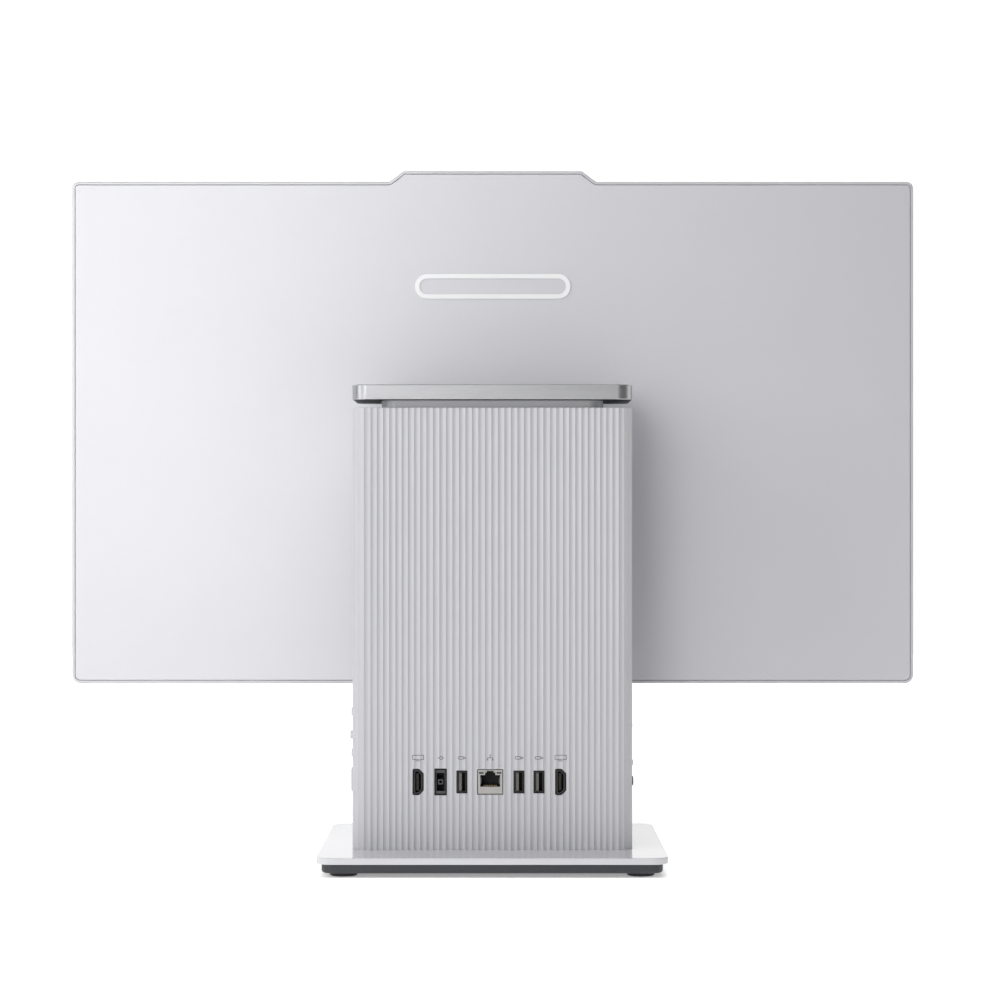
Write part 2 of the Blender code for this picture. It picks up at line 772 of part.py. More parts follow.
def lan_outline(x):
    """The socket's mouth, with the stepped notch for the plug's latch above it."""
    low = PORT_Z - 2.9 * MM
    steps = [(6.0, 4.2), (3.1, 4.2), (3.1, 5.7), (2.1, 5.7), (2.1, 6.7)]
    right = [(x + u * MM, PORT_Z + v * MM) for u, v in steps]
    left = [(2 * x - u, v) for u, v in reversed(right)]
    return [(x - 6 * MM, low), (x + 6 * MM, low)] + right + left


def usb_c_outline(width, height):
    corners = rectangle(width, USB_C_Z - height / 2, USB_C_Z + height / 2, height / 2 - 0.05 * MM)
    return [(SIDE_Y + u, v) for u, v in rounded(corners, 3)]


def make_side_ports():
    edge = COLUMN_WIDTH / 2
    usb = prism(
        "side_usb_port", [rect(SIDE_Y, SIDE_USB_Z, 6.4 * MM, 14 * MM)],
        edge - 14 * MM, edge + 0.9 * MM, "X", "black_plastic",
    )
    mouth = rect(SIDE_Y, SIDE_USB_Z, 4.6 * MM, 12 * MM)
    tongue = rect(SIDE_Y + 1 * MM, SIDE_USB_Z, 1.7 * MM, 11 * MM)
    cut(usb, prism("side_usb_cavity", [mouth], edge - 11 * MM, edge + 2 * MM, "X"))
    join(usb, prism("side_usb_tongue", [tongue], edge - 12 * MM, edge, "X"))

    shell = usb_c_outline(8.9 * MM, 3.3 * MM)
    usb_c = prism("usb_c_port", [shell], -edge - 0.6 * MM, -edge + 12 * MM, "X", "nickel")
    mouth = usb_c_outline(8.2 * MM, 2.6 * MM)
    cut(usb_c, prism("usb_c_cavity", [mouth], -edge - 2 * MM, -edge + 7 * MM, "X"))
    tongue = rect(SIDE_Y, USB_C_Z, 6.6 * MM, 0.8 * MM)
    join(usb_c, prism("usb_c_tongue", [tongue], -edge + 0.4 * MM, -edge + 8 * MM, "X"))

    jack = box(
        "audio_jack", (-edge + 3.2 * MM, SIDE_Y - 4 * MM, JACK_Z - 4 * MM),
        (-edge + 15 * MM, SIDE_Y + 4 * MM, JACK_Z + 4 * MM), "black_plastic",
    )
    barrel_centre = (-edge + 1.6 * MM, SIDE_Y, JACK_Z)
    join(jack, cylinder("jack_barrel", barrel_centre, 2.8 * MM, 5 * MM, "X", segments=16))
    bore_centre = (-edge + 5 * MM, SIDE_Y, JACK_Z)
    cut(jack, cylinder("jack_bore", bore_centre, 1.8 * MM, 13 * MM, "X", segments=16))

    light_centre = (-edge + 2.7 * MM, SIDE_Y, LIGHT_Z)
    cylinder("status_light", light_centre, 1 * MM, 6.4 * MM, "X", "black_plastic", 12)


def make_side_buttons():
    """Three buttons in the right side, each with a collar that keeps it in the shell."""
    edge = COLUMN_WIDTH / 2
    for name, z, proud in SIDE_BUTTONS:
        start = edge - 4.5 * MM
        length = edge + proud - start
        centre = (start + length / 2, SIDE_Y, z)
        button = cylinder(name, centre, BUTTON_RADIUS, length, "X", "silver_plastic", 20)
        face = edge + proud
        round_edges(button, 0.4 * MM, 2, lambda p, face=face: near(p.x, face))
        collar_centre = (start + 0.6 * MM, SIDE_Y, z)
        join(button, cylinder(name + "_collar", collar_centre, COLLAR_RADIUS, 1.2 * MM, "X"))
        hang_on(name + "_axis", (face, SIDE_Y, z), [button])


# --- neck, arm and hinge -------------------------------------------------------------------------


def neck_corners():
    return rectangle(NECK_WIDTH, NECK_FRONT, NECK_REAR, 9 * MM)


def make_neck():
    """The block between chassis and arm, with a channel for the display's cable."""
    bottom = CHASSIS_TOP + GAP
    top = ARM_BOTTOM - GAP
    neck = prism("neck", [rounded(neck_corners(), 5)], bottom, top, "Z", "silver_plastic")
    shaft = rect(CABLE_X, 5 * MM, 8 * MM, 12 * MM)
    channel = rect(CABLE_X, NECK_FRONT, 6 * MM, 28 * MM)
    cut(
        neck,
        prism("neck_shaft", [shaft], bottom - 1 * MM, top + 1 * MM, "Z"),
        prism("neck_channel", [channel], top - 4 * MM, top + 1 * MM, "Z"),
    )


def make_arm():
    corners = rectangle(COLUMN_WIDTH, ARM_FRONT, COLUMN_REAR, COLUMN_CORNER)
    arm = prism("arm_plate", [rounded(corners, 6)], ARM_BOTTOM, ARM_TOP, "Z", "brushed_aluminium")
    round_edges(arm, 0.5 * MM, 2, lambda p: near(p.z, ARM_BOTTOM) or near(p.z, ARM_TOP))


def knuckle(name, x0, x1):
    outline = [circle(TILT_Y, TILT_Z, KNUCKLE_RADIUS)]
    return prism(name, outline, x0, x1, "X")


def make_hinge():
    """Arm bracket with two outer knuckles, display bracket with the middle one, and the pin."""
    bore = [circle(TILT_Y, TILT_Z, PIN_RADIUS + BORE_CLEARANCE)]
    flange_front = ARM_FRONT - GAP - 2.5 * MM
    bracket = box(
        "arm_bracket", (-52 * MM, flange_front, ARM_BOTTOM + 0.2 * MM),
        (52 * MM, ARM_FRONT - GAP, ARM_TOP - 0.2 * MM), "steel",
    )
    for side in (-1, 1):
        x0, x1 = sorted((side * 30 * MM, side * 46 * MM))
        web = box(
            "arm_web", (x0, TILT_Y, TILT_Z - 3 * MM), (x1, flange_front + 1 * MM, TILT_Z + 3 * MM)
        )
        join(bracket, web, knuckle("arm_knuckle", x0, x1))
    cut(bracket, prism("arm_bore", bore, -60 * MM, 60 * MM, "X"))

    plate_back = DISPLAY_BACK + GAP
    display_bracket = box(
        "display_bracket", (-30 * MM, plate_back, TILT_Z - 12 * MM),
        (30 * MM, plate_back + 2.5 * MM, TILT_Z + 8 * MM), "steel",
    )
    half = 27.7 * MM
    web = box(
        "display_web", (-half, plate_back + 1 * MM, TILT_Z - 2.5 * MM),
        (half, TILT_Y, TILT_Z + 2.5 * MM),
    )
    join(display_bracket, web, knuckle("display_knuckle", -half, half))
    cut(display_bracket, prism("display_bore", bore, -40 * MM, 40 * MM, "X"))

    cylinder("hinge_pin", (0, TILT_Y, TILT_Z), PIN_RADIUS, 98 * MM, "X", "nickel")
    for name, side in (("friction_washer_left", -1), ("friction_washer_right", 1)):
        x0, x1 = sorted((side * 28.1 * MM, side * 29.6 * MM))
        prism(name, [circle(TILT_Y, TILT_Z, 4.6 * MM)] + bore, x0, x1, "X", "nickel")
    return display_bracket


def make_hinge_cover():
    """A sleeve round the hinge, open to the display, with a wall that lets the webs through."""
    back = ARM_FRONT - GAP
    front = TILT_Y - 7.5 * MM
    outer = rectangle(124 * MM, TILT_Z - 6.8 * MM, TILT_Z + 6.6 * MM, 2.5 * MM)
    cover = prism("hinge_cover", [rounded(outer, 3)], front, back, "Y", "silver_plastic")
    inner = rounded(inset(outer, 1.2 * MM), 3)
    wall_back = ARM_FRONT - GAP - 2.8 * MM
    wall_front = wall_back - 1.4 * MM
    cut(
        cover,
        prism("cover_front_room", [inner], front - 1 * MM, wall_front, "Y"),
        prism("cover_back_room", [inner], wall_back, back + 1 * MM, "Y"),
        solver="MANIFOLD",
    )
    for x, z, width, height, end in (
        (-38 * MM, TILT_Z, 16.8 * MM, 6.8 * MM, wall_back),
        (38 * MM, TILT_Z, 16.8 * MM, 6.8 * MM, wall_back),
        (CABLE_X, TILT_Z - 5.2 * MM, 4.6 * MM, 7.6 * MM, back),
    ):
        outline = rect(x, z, width, height)
        window = prism("cover_window", [outline], wall_front - 1 * MM, end + 1 * MM, "Y")
        cut(cover, window, solver="MANIFOLD")


def make_cables():
    """The display's cable in two held lengths, one on each side of the tilt axis."""
    x = CABLE_X
    level = ARM_BOTTOM - 2.2 * MM
    lower = [
        (x, 28 * MM, 250 * MM), (x, 20 * MM, 254 * MM), (x, 9 * MM, 262 * MM),
        (x, 5 * MM, 271 * MM), (x, 3 * MM, 279 * MM), (x, -4 * MM, level), (x, -14 * MM, level),
        (x, -19 * MM, level + 0.1 * MM), (x, -23.5 * MM, level + 2.2 * MM),
        (x, -28 * MM, level + 3 * MM),
    ]
    tube("display_cable_lower", lower, CABLE_RADIUS, "black_plastic")
    upper = [
        (x, TILT_Y - 4.5 * MM, TILT_Z), (x, TILT_Y - 9 * MM, TILT_Z),
        (x, DISPLAY_BACK, TILT_Z), (x, DISPLAY_BACK - 2.4 * MM, TILT_Z),
    ]
    return tube("display_cable_upper", upper, CABLE_RADIUS, "black_plastic")


# --- display -------------------------------------------------------------------------------------


def display_corners():
    """The outline in (x, z), with the raised camera housing at the middle of the top edge."""
    half = DISPLAY_WIDTH / 2
    return [
        (-half, DISPLAY_BOTTOM, LOWER_CORNER), (half, DISPLAY_BOTTOM, LOWER_CORNER),
        (half, DISPLAY_TOP, UPPER_CORNER), (BUMP_FOOT, DISPLAY_TOP, BUMP_BLEND),
        (BUMP_SHOULDER, BUMP_TOP, BUMP_BLEND), (-BUMP_SHOULDER, BUMP_TOP, BUMP_BLEND),
        (-BUMP_FOOT, DISPLAY_TOP, BUMP_BLEND), (-half, DISPLAY_TOP, UPPER_CORNER),
    ]


def make_display_back():
    """The flat rear cover with its cable hole, the mount plate inside it and the emblem ring."""
    seat = RIM + GAP
    outline = rounded(inset(display_corners(), seat), 4)
    cable_hole = circle(CABLE_X, TILT_Z, 2 * MM, 12)
    cover = prism(
        "display_rear_cover", [outline, cable_hole], DISPLAY_BACK - REAR_COVER, DISPLAY_BACK, "Y",
        "silver_plastic",
    )
    plate_back = DISPLAY_BACK - REAR_COVER - GAP
    plate = box(
        "display_mount_plate", (-50 * MM, plate_back - 1.5 * MM, TILT_Z - 32 * MM),
        (50 * MM, plate_back, TILT_Z + 32 * MM), "steel",
    )
    bar = rectangle(100 * MM, EMBLEM_Z - 8 * MM, EMBLEM_Z + 8 * MM, 7.9 * MM)
    emblem = prism(
        "rear_emblem", [rounded(bar, 6), rounded(inset(bar, 3 * MM), 6)],
        DISPLAY_BACK + GAP, DISPLAY_BACK + GAP + 0.4 * MM, "Y", "emblem",
    )
    return [cover, plate, emblem]


def make_mid_frame():
    """The rim round the display, with a ledge that carries the rear cover."""
    corners = display_corners()
    back = DISPLAY_BACK - 0.2 * MM
    front = DISPLAY_FRONT + 2.6 * MM
    frame = prism("display_mid_frame", [rounded(corners, 4)], front, back, "Y", "rim_plastic")
    round_edges(frame, 0.8 * MM, 2, lambda p: near(p.y, back))
    rim = rounded(inset(corners, RIM), 4)
    cut(frame, prism("rim_room", [rim], front - 1 * MM, back + 1 * MM, "Y"), solver="MANIFOLD")
    overlap = rounded(inset(corners, RIM - 0.7 * MM), 4)
    ledge = rounded(inset(corners, 5.5 * MM), 4)
    ledge_back = DISPLAY_BACK - REAR_COVER - GAP
    ring = prism("rim_ledge", [overlap, ledge], ledge_back - 1.6 * MM, ledge_back, "Y")
    join(frame, ring, solver="MANIFOLD")
    return [frame]


def glass_corners():
    half = DISPLAY_WIDTH / 2 - GLASS_SIDE
    return rectangle(2 * half, GLASS_BOTTOM, DISPLAY_TOP - GLASS_SIDE, 2.5 * MM)


def make_front():
    """Front bezel with its chin and camera window, screen glass and backlight module."""
    back = DISPLAY_FRONT + 2.3 * MM
    opening = rounded(inset(glass_corners(), -GAP), 3)
    bezel = prism(
        "front_bezel", [rounded(display_corners(), 4), opening], DISPLAY_FRONT, back, "Y",
        "silver_plastic",
    )
    track = box(
        "shutter_track", (-13.3 * MM, DISPLAY_FRONT - 1 * MM, CAMERA_Z - 2.6 * MM),
        (5.3 * MM, DISPLAY_FRONT + 1.1 * MM, CAMERA_Z + 2.6 * MM),
    )
    hole_centre = (0, DISPLAY_FRONT + 1.5 * MM, CAMERA_Z)
    cut(bezel, track, cylinder("camera_hole", hole_centre, 2.4 * MM, 4 * MM, "Y"))
    glass = prism(
        "screen_glass", [rounded(glass_corners(), 3)], DISPLAY_FRONT + 0.3 * MM,
        DISPLAY_FRONT + 2 * MM, "Y", "screen",
    )
    panel_front = DISPLAY_FRONT + 2.6 * MM
    backlight = box(
        "backlight_module", (-262 * MM, panel_front, 119 * MM),
        (262 * MM, panel_front + 5.4 * MM, 423.5 * MM), "panel_metal",
    )
    return [bezel, glass, backlight]


def make_camera():
    face = DISPLAY_FRONT + 1.3 * MM
    board = box(
        "camera_module", (-22 * MM, DISPLAY_FRONT + 3 * MM, CAMERA_Z - 4 * MM),
        (22 * MM, DISPLAY_FRONT + 4.4 * MM, CAMERA_Z + 2.4 * MM), "circuit_board",
    )
    barrel_centre = (0, face + 1.4 * MM, CAMERA_Z)
    join(board, cylinder("camera_barrel", barrel_centre, 2 * MM, 2.8 * MM, "Y", segments=20))
    shutter_front = DISPLAY_FRONT + 0.2 * MM
    shutter = box(
        "camera_shutter", (-13 * MM, shutter_front, CAMERA_Z - 2.3 * MM),
        (-5 * MM, shutter_front + 0.7 * MM, CAMERA_Z + 2.3 * MM), "dark_plastic",
    )
    ridge = box(
        "shutter_ridge", (-12 * MM, DISPLAY_FRONT - 0.4 * MM, CAMERA_Z - 1.8 * MM),
        (-10.8 * MM, shutter_front + 0.3 * MM, CAMERA_Z + 1.8 * MM),
    )
    join(shutter, ridge)
    return [board, shutter]


def make_display_electronics():
    back = DISPLAY_BACK - 2.3 * MM
    board = box(
        "driver_board", (-70 * MM, back - 2.2 * MM, 180 * MM), (70 * MM, back, 225 * MM),
        "circuit_board",
    )
    pieces = [board]
    for side, x in (("left", -180 * MM), ("right", 180 * MM)):
        pieces.append(box(
            f"speaker_{side}", (x - 35 * MM, DISPLAY_FRONT + 3 * MM, 109 * MM),
            (x + 35 * MM, DISPLAY_BACK - 4.5 * MM, 118 * MM), "black_plastic",
        ))
    return pieces


def main():
    start_scene()
    make_materials()
    make_base_plate()
    make_base_tray()
    make_feet()
    make_column_rear()
    make_column_front()
    make_column_cap()
    make_chassis()
    make_mainboard()
    make_processor()
    make_heat_sink()
    make_fan()
    make_cards()
    make_rear_ports()
    make_side_ports()
    make_side_buttons()
    make_neck()
    make_arm()
    make_hinge_cover()
    display = [make_hinge(), make_cables()]
    display += make_display_back()
    display += make_mid_frame()
    display += make_front()
    display += make_camera()
    display += make_display_electronics()
    hang_on("tilt_axis", (0, TILT_Y, TILT_Z), display)


main()
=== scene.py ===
"""Looks of an all-in-one PC: satin display back, brushed arm, fluted column and rear ports.

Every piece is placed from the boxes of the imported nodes. Metres, +Z up, the screen faces -Y.
"""

import json
import math

import bmesh
import bpy
from mathutils import Matrix, Vector


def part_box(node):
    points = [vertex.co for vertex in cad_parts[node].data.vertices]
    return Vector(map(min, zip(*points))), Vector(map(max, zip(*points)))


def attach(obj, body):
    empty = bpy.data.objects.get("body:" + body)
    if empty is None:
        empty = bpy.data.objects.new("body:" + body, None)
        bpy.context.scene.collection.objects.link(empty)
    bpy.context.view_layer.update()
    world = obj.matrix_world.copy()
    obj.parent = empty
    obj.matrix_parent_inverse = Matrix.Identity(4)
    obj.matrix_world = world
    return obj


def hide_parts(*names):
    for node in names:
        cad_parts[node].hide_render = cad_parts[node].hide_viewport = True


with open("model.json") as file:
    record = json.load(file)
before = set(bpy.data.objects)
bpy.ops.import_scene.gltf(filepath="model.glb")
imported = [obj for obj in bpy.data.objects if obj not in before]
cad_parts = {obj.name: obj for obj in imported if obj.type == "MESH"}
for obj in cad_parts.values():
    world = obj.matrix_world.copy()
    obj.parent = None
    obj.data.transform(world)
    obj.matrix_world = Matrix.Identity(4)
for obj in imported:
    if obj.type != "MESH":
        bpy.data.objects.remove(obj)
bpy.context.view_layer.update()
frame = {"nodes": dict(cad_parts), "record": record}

MM = 0.001
SMOOTH_BELOW = math.radians(32)

# Camera
VIEW_X = -4.65 * MM
VIEW_DISTANCE = 1710.5 * MM
VIEW_HEIGHT = 214 * MM
LENS_MM = 98.7
SHIFT_UP = 0.016

# Studio, as the camera sees it and as the object is lit by it
# The first floor value is the floor's dimmer glow to the camera close round the base: a painted
# contact shadow.
FLOOR_PAINTED_SHADOW = 0.30
FLOOR_SEEN = 0.70
FLOOR_FELT = 0.45
ROOM_SEEN = 1.05
ROOM_FELT = 0.15

# Column and its flutes
COLUMN_CORNER = 9 * MM
COLUMN_WALL = 2.4 * MM
FLUTE_DEPTH = 0.5 * MM
FLUTE_STEPS = 8
MIDDLE_FLUTES = 21
MIDDLE_PITCH = 3.93 * MM
OUTER_FLUTES = 9
OUTER_PITCH = 3.75 * MM
CORNER_FLUTES = 4
SIDE_FLUTES = 7
REAR_FLUTE_SHIFT = -1.36 * MM
WINDOW_GAP = 0.4 * MM
SYMBOL_LINE = 0.42 * MM
BUTTON_GAP = 0.25 * MM
SLOT_WIDTH = 2.6 * MM

# What the column's rear and its +X side hold
REAR_PORTS = {
    "hdmi_output": "hdmi", "power_inlet": "power", "usb_port_1": "usb", "lan_port": "lan",
    "usb_port_2": "usb", "usb_port_3": "usb", "hdmi_input": "hdmi",
}
SIDE_BUTTONS = ("menu_button", "power_button", "input_button")

# Display
BUMP_FOOT = 66.3 * MM
BUMP_SHOULDER = 57.3 * MM
BUMP_BLEND = 3.15 * MM
BUMP_SLOPE = 6.9 / 9.0
LOWER_CORNER = 5.5 * MM
UPPER_CORNER = 4.5 * MM
RIM = 1.8 * MM
PANEL_GAP = 0.3 * MM


# --- materials ---


def blank_material(name):
    """A material with only a Principled shader, with its nodes, links and that shader."""
    made = bpy.data.materials.new(name)
    made.use_nodes = True
    nodes = made.node_tree.nodes
    return made, nodes, made.node_tree.links, nodes["Principled BSDF"]


def noise_of(nodes, links, scale, detail, stretch=(1, 1, 1)):
    """Noise in the object's own space, its pattern stretched along each axis."""
    place = nodes.new("ShaderNodeTexCoord")
    mapping = nodes.new("ShaderNodeMapping")
    mapping.inputs["Scale"].default_value = stretch
    noise = nodes.new("ShaderNodeTexNoise")
    noise.inputs["Scale"].default_value = scale
    noise.inputs["Detail"].default_value = detail
    links.new(place.outputs["Object"], mapping.inputs["Vector"])
    links.new(mapping.outputs["Vector"], noise.inputs["Vector"])
    return noise.outputs["Fac"]


def ranged(nodes, links, source, low, high):
    """The source's middle values stretched to run from low to high."""
    change = nodes.new("ShaderNodeMapRange")
    change.inputs["From Min"].default_value = 0.3
    change.inputs["From Max"].default_value = 0.7
    change.inputs["To Min"].default_value = low
    change.inputs["To Max"].default_value = high
    links.new(source, change.inputs["Value"])
    return change.outputs["Result"]


def blended(nodes, links, factor, first, second):
    """One colour turning into another as the factor grows."""
    mix = nodes.new("ShaderNodeMix")
    mix.data_type = "RGBA"
    mix.inputs["A"].default_value = (*first, 1)
    mix.inputs["B"].default_value = (*second, 1)
    links.new(factor, mix.inputs["Factor"])
    return mix.outputs["Result"]


def surface(
    name, colour, roughness, metallic=0.0, tone=0.03, vary=0.05, grain=0.1,
    grain_scale=1800.0, grain_depth=0.03 * MM, stretch=(1, 1, 1), detail=3.0,
):
    """A finish whose colour drifts slowly and whose roughness and relief follow a fine grain."""
    made, nodes, links, shader = blank_material(name)
    drift = noise_of(nodes, links, 9.0, 2.0)
    darker = [c * (1 - tone) for c in colour]
    lighter = [min(c * (1 + tone), 1.0) for c in colour]
    links.new(blended(nodes, links, drift, darker, lighter), shader.inputs["Base Color"])
    fine = noise_of(nodes, links, grain_scale, detail, stretch)
    rough = ranged(nodes, links, fine, roughness - vary, roughness + vary)
    links.new(rough, shader.inputs["Roughness"])
    bump = nodes.new("ShaderNodeBump")
    bump.inputs["Strength"].default_value = grain
    bump.inputs["Distance"].default_value = grain_depth
    links.new(fine, bump.inputs["Height"])
    links.new(bump.outputs["Normal"], shader.inputs["Normal"])
    shader.inputs["Metallic"].default_value = metallic
    return made


def brushed(name, colour, roughness, stretch, around=None):
    """Brushed metal: long fine streaks, and highlights drawn out across them."""
    made = surface(
        name, colour, roughness, 1.0, tone=0.015, vary=0.06, grain=0.25,
        grain_scale=1.0, grain_depth=0.02 * MM, stretch=stretch, detail=4.0,
    )
    nodes = made.node_tree.nodes
    shader = nodes["Principled BSDF"]
    shader.inputs["Anisotropic"].default_value = 0.7
    if around:
        tangent = nodes.new("ShaderNodeTangent")
        tangent.direction_type = "RADIAL"
        tangent.axis = around
        made.node_tree.links.new(tangent.outputs["Tangent"], shader.inputs["Tangent"])
    return made


def circuit_material():
    """Green solder mask with faint straight tracks and pale pads."""
    made, nodes, links, shader = blank_material("circuit_finish")
    place = nodes.new("ShaderNodeTexCoord")
    brick = nodes.new("ShaderNodeTexBrick")
    brick.inputs["Scale"].default_value = 120.0
    brick.inputs["Mortar Size"].default_value = 0.02
    brick.inputs["Color1"].default_value = (0.006, 0.05, 0.028, 1)
    brick.inputs["Color2"].default_value = (0.009, 0.065, 0.035, 1)
    brick.inputs["Mortar"].default_value = (0.03, 0.12, 0.06, 1)
    turn = nodes.new("ShaderNodeMapping")
    turn.inputs["Rotation"].default_value = (math.pi / 2, 0, 0)
    links.new(place.outputs["Object"], turn.inputs["Vector"])
    links.new(turn.outputs["Vector"], brick.inputs["Vector"])
    links.new(brick.outputs["Color"], shader.inputs["Base Color"])
    rough = ranged(nodes, links, noise_of(nodes, links, 400.0, 2.0), 0.32, 0.45)
    links.new(rough, shader.inputs["Roughness"])
    return made


def screen_material():
    """Dark glass over a switched-off panel, its tone drifting a little."""
    made, nodes, links, shader = blank_material("screen_finish")
    drift = noise_of(nodes, links, 3.0, 1.0)
    colour = blended(nodes, links, drift, (0.0035, 0.0037, 0.0045), (0.006, 0.0062, 0.0075))
    links.new(colour, shader.inputs["Base Color"])
    rough = ranged(nodes, links, noise_of(nodes, links, 900.0, 2.0), 0.07, 0.11)
    links.new(rough, shader.inputs["Roughness"])
    shader.inputs["IOR"].default_value = 1.5
    shader.inputs["Coat Weight"].default_value = 0.2
    shader.inputs["Coat Roughness"].default_value = 0.04
    return made


def make_materials():
    """The finishes by name: first the record's slots, then those of the finer pieces."""
    made = {
        "silver_plastic": surface("silver_satin", (0.60, 0.60, 0.63), 0.40, 0.25),
        "fluted_plastic": surface("fluted_satin", (0.497, 0.497, 0.519), 0.46, 0.1, grain=0.14),
        "rim_plastic": surface("rim_satin", (0.56, 0.56, 0.58), 0.34, 0.15),
        "brushed_aluminium": brushed("arm_brushed", (0.37, 0.37, 0.382), 0.32, (9, 9, 5200), "Z"),
        "plate_paint": surface(
            "plate_satin", (0.61, 0.61, 0.635), 0.15, vary=0.02, grain=0.03
        ),
        "dark_plastic": surface(
            "tray_moulded", (0.031, 0.033, 0.039), 0.48, grain=0.3, grain_scale=2600.0
        ),
        "rubber": surface("rubber_matte", (0.022, 0.022, 0.025), 0.8, grain=0.4),
        "steel": brushed("steel_brushed", (0.42, 0.42, 0.44), 0.34, (2600, 40, 40)),
        "black_plastic": surface("black_moulded", (0.012, 0.012, 0.014), 0.38, tone=0.12),
        "nickel": brushed("nickel_plate", (0.63, 0.61, 0.58), 0.24, (30, 30, 2200)),
        "circuit_board": circuit_material(),
        "chip": surface("chip_epoxy", (0.018, 0.018, 0.02), 0.5, tone=0.1, grain=0.3),
        "screen": screen_material(),
        "panel_metal": brushed("panel_metal", (0.5, 0.5, 0.5), 0.36, (40, 40, 1500)),
        "emblem": surface("emblem_gloss", (0.88, 0.88, 0.89), 0.22, grain=0.03, tone=0.01),
    }
    made["port_black"] = surface("port_moulded", (0.003, 0.003, 0.0035), 0.6, tone=0.15)
    made["port_grey"] = surface("port_insert", (0.055, 0.055, 0.059), 0.45, tone=0.1)
    made["liner"] = brushed("port_liner", (0.13, 0.125, 0.12), 0.3, (1500, 60, 60))
    made["port_tongue"] = surface("tongue_moulded", (0.13, 0.125, 0.12), 0.4, tone=0.1)
    made["lan_metal"] = brushed("lan_face", (0.40, 0.39, 0.372), 0.38, (60, 60, 1800))
    made["gold"] = brushed("contact_gold", (0.30, 0.24, 0.14), 0.3, (900, 40, 900))
    made["print"] = surface("print_ink", (0.12, 0.12, 0.13), 0.55, tone=0.08, grain=0.2)
    made["lens"] = surface("lens_glass", (0.004, 0.005, 0.010), 0.06, tone=0.3, grain=0.0)
    # Painted reflection: the arm's underside is coloured dark to stand in for the dark reflection
    # it shows, not for the metal's own colour.
    made["arm_underside_painted_dark"] = surface("painted_dark_reflection_finish", (0.07, 0.072, 0.08), 0.5)
    made["neck_satin"] = surface("neck_satin", (0.395, 0.395, 0.413), 0.42, 0.2)
    made["edge_metal"] = surface(
        "polished_edge", (0.74, 0.74, 0.75), 0.2, 1.0, tone=0.01, grain=0.03
    )
    return made


# --- shapes ---


def rectangle(width, low, high, radius, middle=0.0):
    """Corners of a rounded rectangle as (u, v, radius), anticlockwise."""
    half = width / 2
    left, right = middle - half, middle + half
    return [(left, low, radius), (right, low, radius), (right, high, radius), (left, high, radius)]


def rounded(corners, steps):
    """The outline of the corners, with an arc of some steps at each."""
    outline = []
    for index, (u, v, radius) in enumerate(corners):
        here = Vector((u, v))
        to_before = (Vector(corners[index - 1][:2]) - here).normalized()
        to_after = (Vector(corners[(index + 1) % len(corners)][:2]) - here).normalized()
        opening = to_before.angle(to_after)
        reach = radius / math.tan(opening / 2)
        centre = here + (to_before + to_after).normalized() * radius / math.sin(opening / 2)
        first = here + to_before * reach - centre
        turn = first.angle_signed(here + to_after * reach - centre)
        for step in range(steps + 1):
            spin = Matrix.Rotation(-turn * step / steps, 2)
            outline.append(centre + spin @ first)
    return [(p.x, p.y) for p in outline]


def inset(corners, distance):
    """The corners moved inwards by a distance, with each radius to match."""
    moved = []
    for index, (u, v, radius) in enumerate(corners):
        here = Vector((u, v))
        into = (here - Vector(corners[index - 1][:2])).normalized()
        out = (Vector(corners[(index + 1) % len(corners)][:2]) - here).normalized()
        mitre = Vector((-into.y - out.y, into.x + out.x)).normalized()
        reach = distance / mitre.dot(Vector((-out.y, out.x)))
        hollow = into.x * out.y - into.y * out.x < 0
        changed = radius + distance if hollow else max(radius - distance, 0.1 * MM)
        moved.append((*(here + mitre * reach), changed))
    return moved


def placed(axis, u, v, level):
    """The point at a level on the axis and at (u, v) across it."""
    if axis == "X":
        return (level, u, v)
    if axis == "Y":
        return (u, level, v)
    return (u, v, level)


def turn_outwards(bm, faces):
    """Reverses the faces of one closed body if they point inwards."""
    volume = 0.0
    for face in faces:
        corners = [v.co for v in face.verts]
        for b, c in zip(corners[1:], corners[2:]):
            volume += corners[0].dot(b.cross(c))
    if volume < 0:
        bmesh.ops.reverse_faces(bm, faces=faces)


def add_rings(bm, rings, shades, closed):
    """Skins the rings of points; each shade colours the band that follows its ring."""
    loops = [[bm.verts.new(p) for p in ring] for ring in rings]
    faces = []
    following = loops[1:] + loops[:1] if closed else loops[1:]
    for here, ahead, shade in zip(loops, following, shades):
        for k, start in enumerate(here):
            n = (k + 1) % len(here)
            face = bm.faces.new((start, here[n], ahead[n], ahead[k]))
            face.material_index = shade
            faces.append(face)
    if not closed:
        for ring, shade in ((loops[0][::-1], shades[0]), (loops[-1], shades[-1])):
            cap = bm.faces.new(ring)
            cap.material_index = shade
            faces.append(cap)
    turn_outwards(bm, faces)


def add_swept(bm, corners, profile, axis, closed=False, steps=10):
    """A solid from an outline and a profile of (inset, level[, shade]) steps."""
    rings = [
        [placed(axis, u, v, step[1]) for u, v in rounded(inset(corners, step[0]), steps)]
        for step in profile
    ]
    shades = [step[2] if len(step) > 2 else 0 for step in profile]
    add_rings(bm, rings, shades, closed)


def add_turned(bm, centre, axis, profile, segments=40, shade=0, closed=False):
    """A turned solid from a profile of (radius, level), its centre in the plane across the axis."""
    rings = []
    for radius, level in profile:
        turns = [2 * math.pi * k / segments for k in range(segments)]
        rings.append([
            placed(axis, centre[0] + radius * math.cos(a), centre[1] + radius * math.sin(a), level)
            for a in turns
        ])
    add_rings(bm, rings, [shade] * len(rings), closed)


def soft_sides(low, high, low_round, high_round, steps=5):
    """A straight side with a quarter round at each end, as (inset, level)."""
    turns = [math.pi / 2 * k / steps for k in range(steps + 1)]
    sign = 1 if high > low else -1
    profile = [
        (low_round * (1 - math.sin(a)), low + sign * low_round * (1 - math.cos(a))) for a in turns
    ]
    profile += [
        (high_round * (1 - math.cos(a)), high - sign * high_round * (1 - math.sin(a)))
        for a in turns
    ]
    return profile


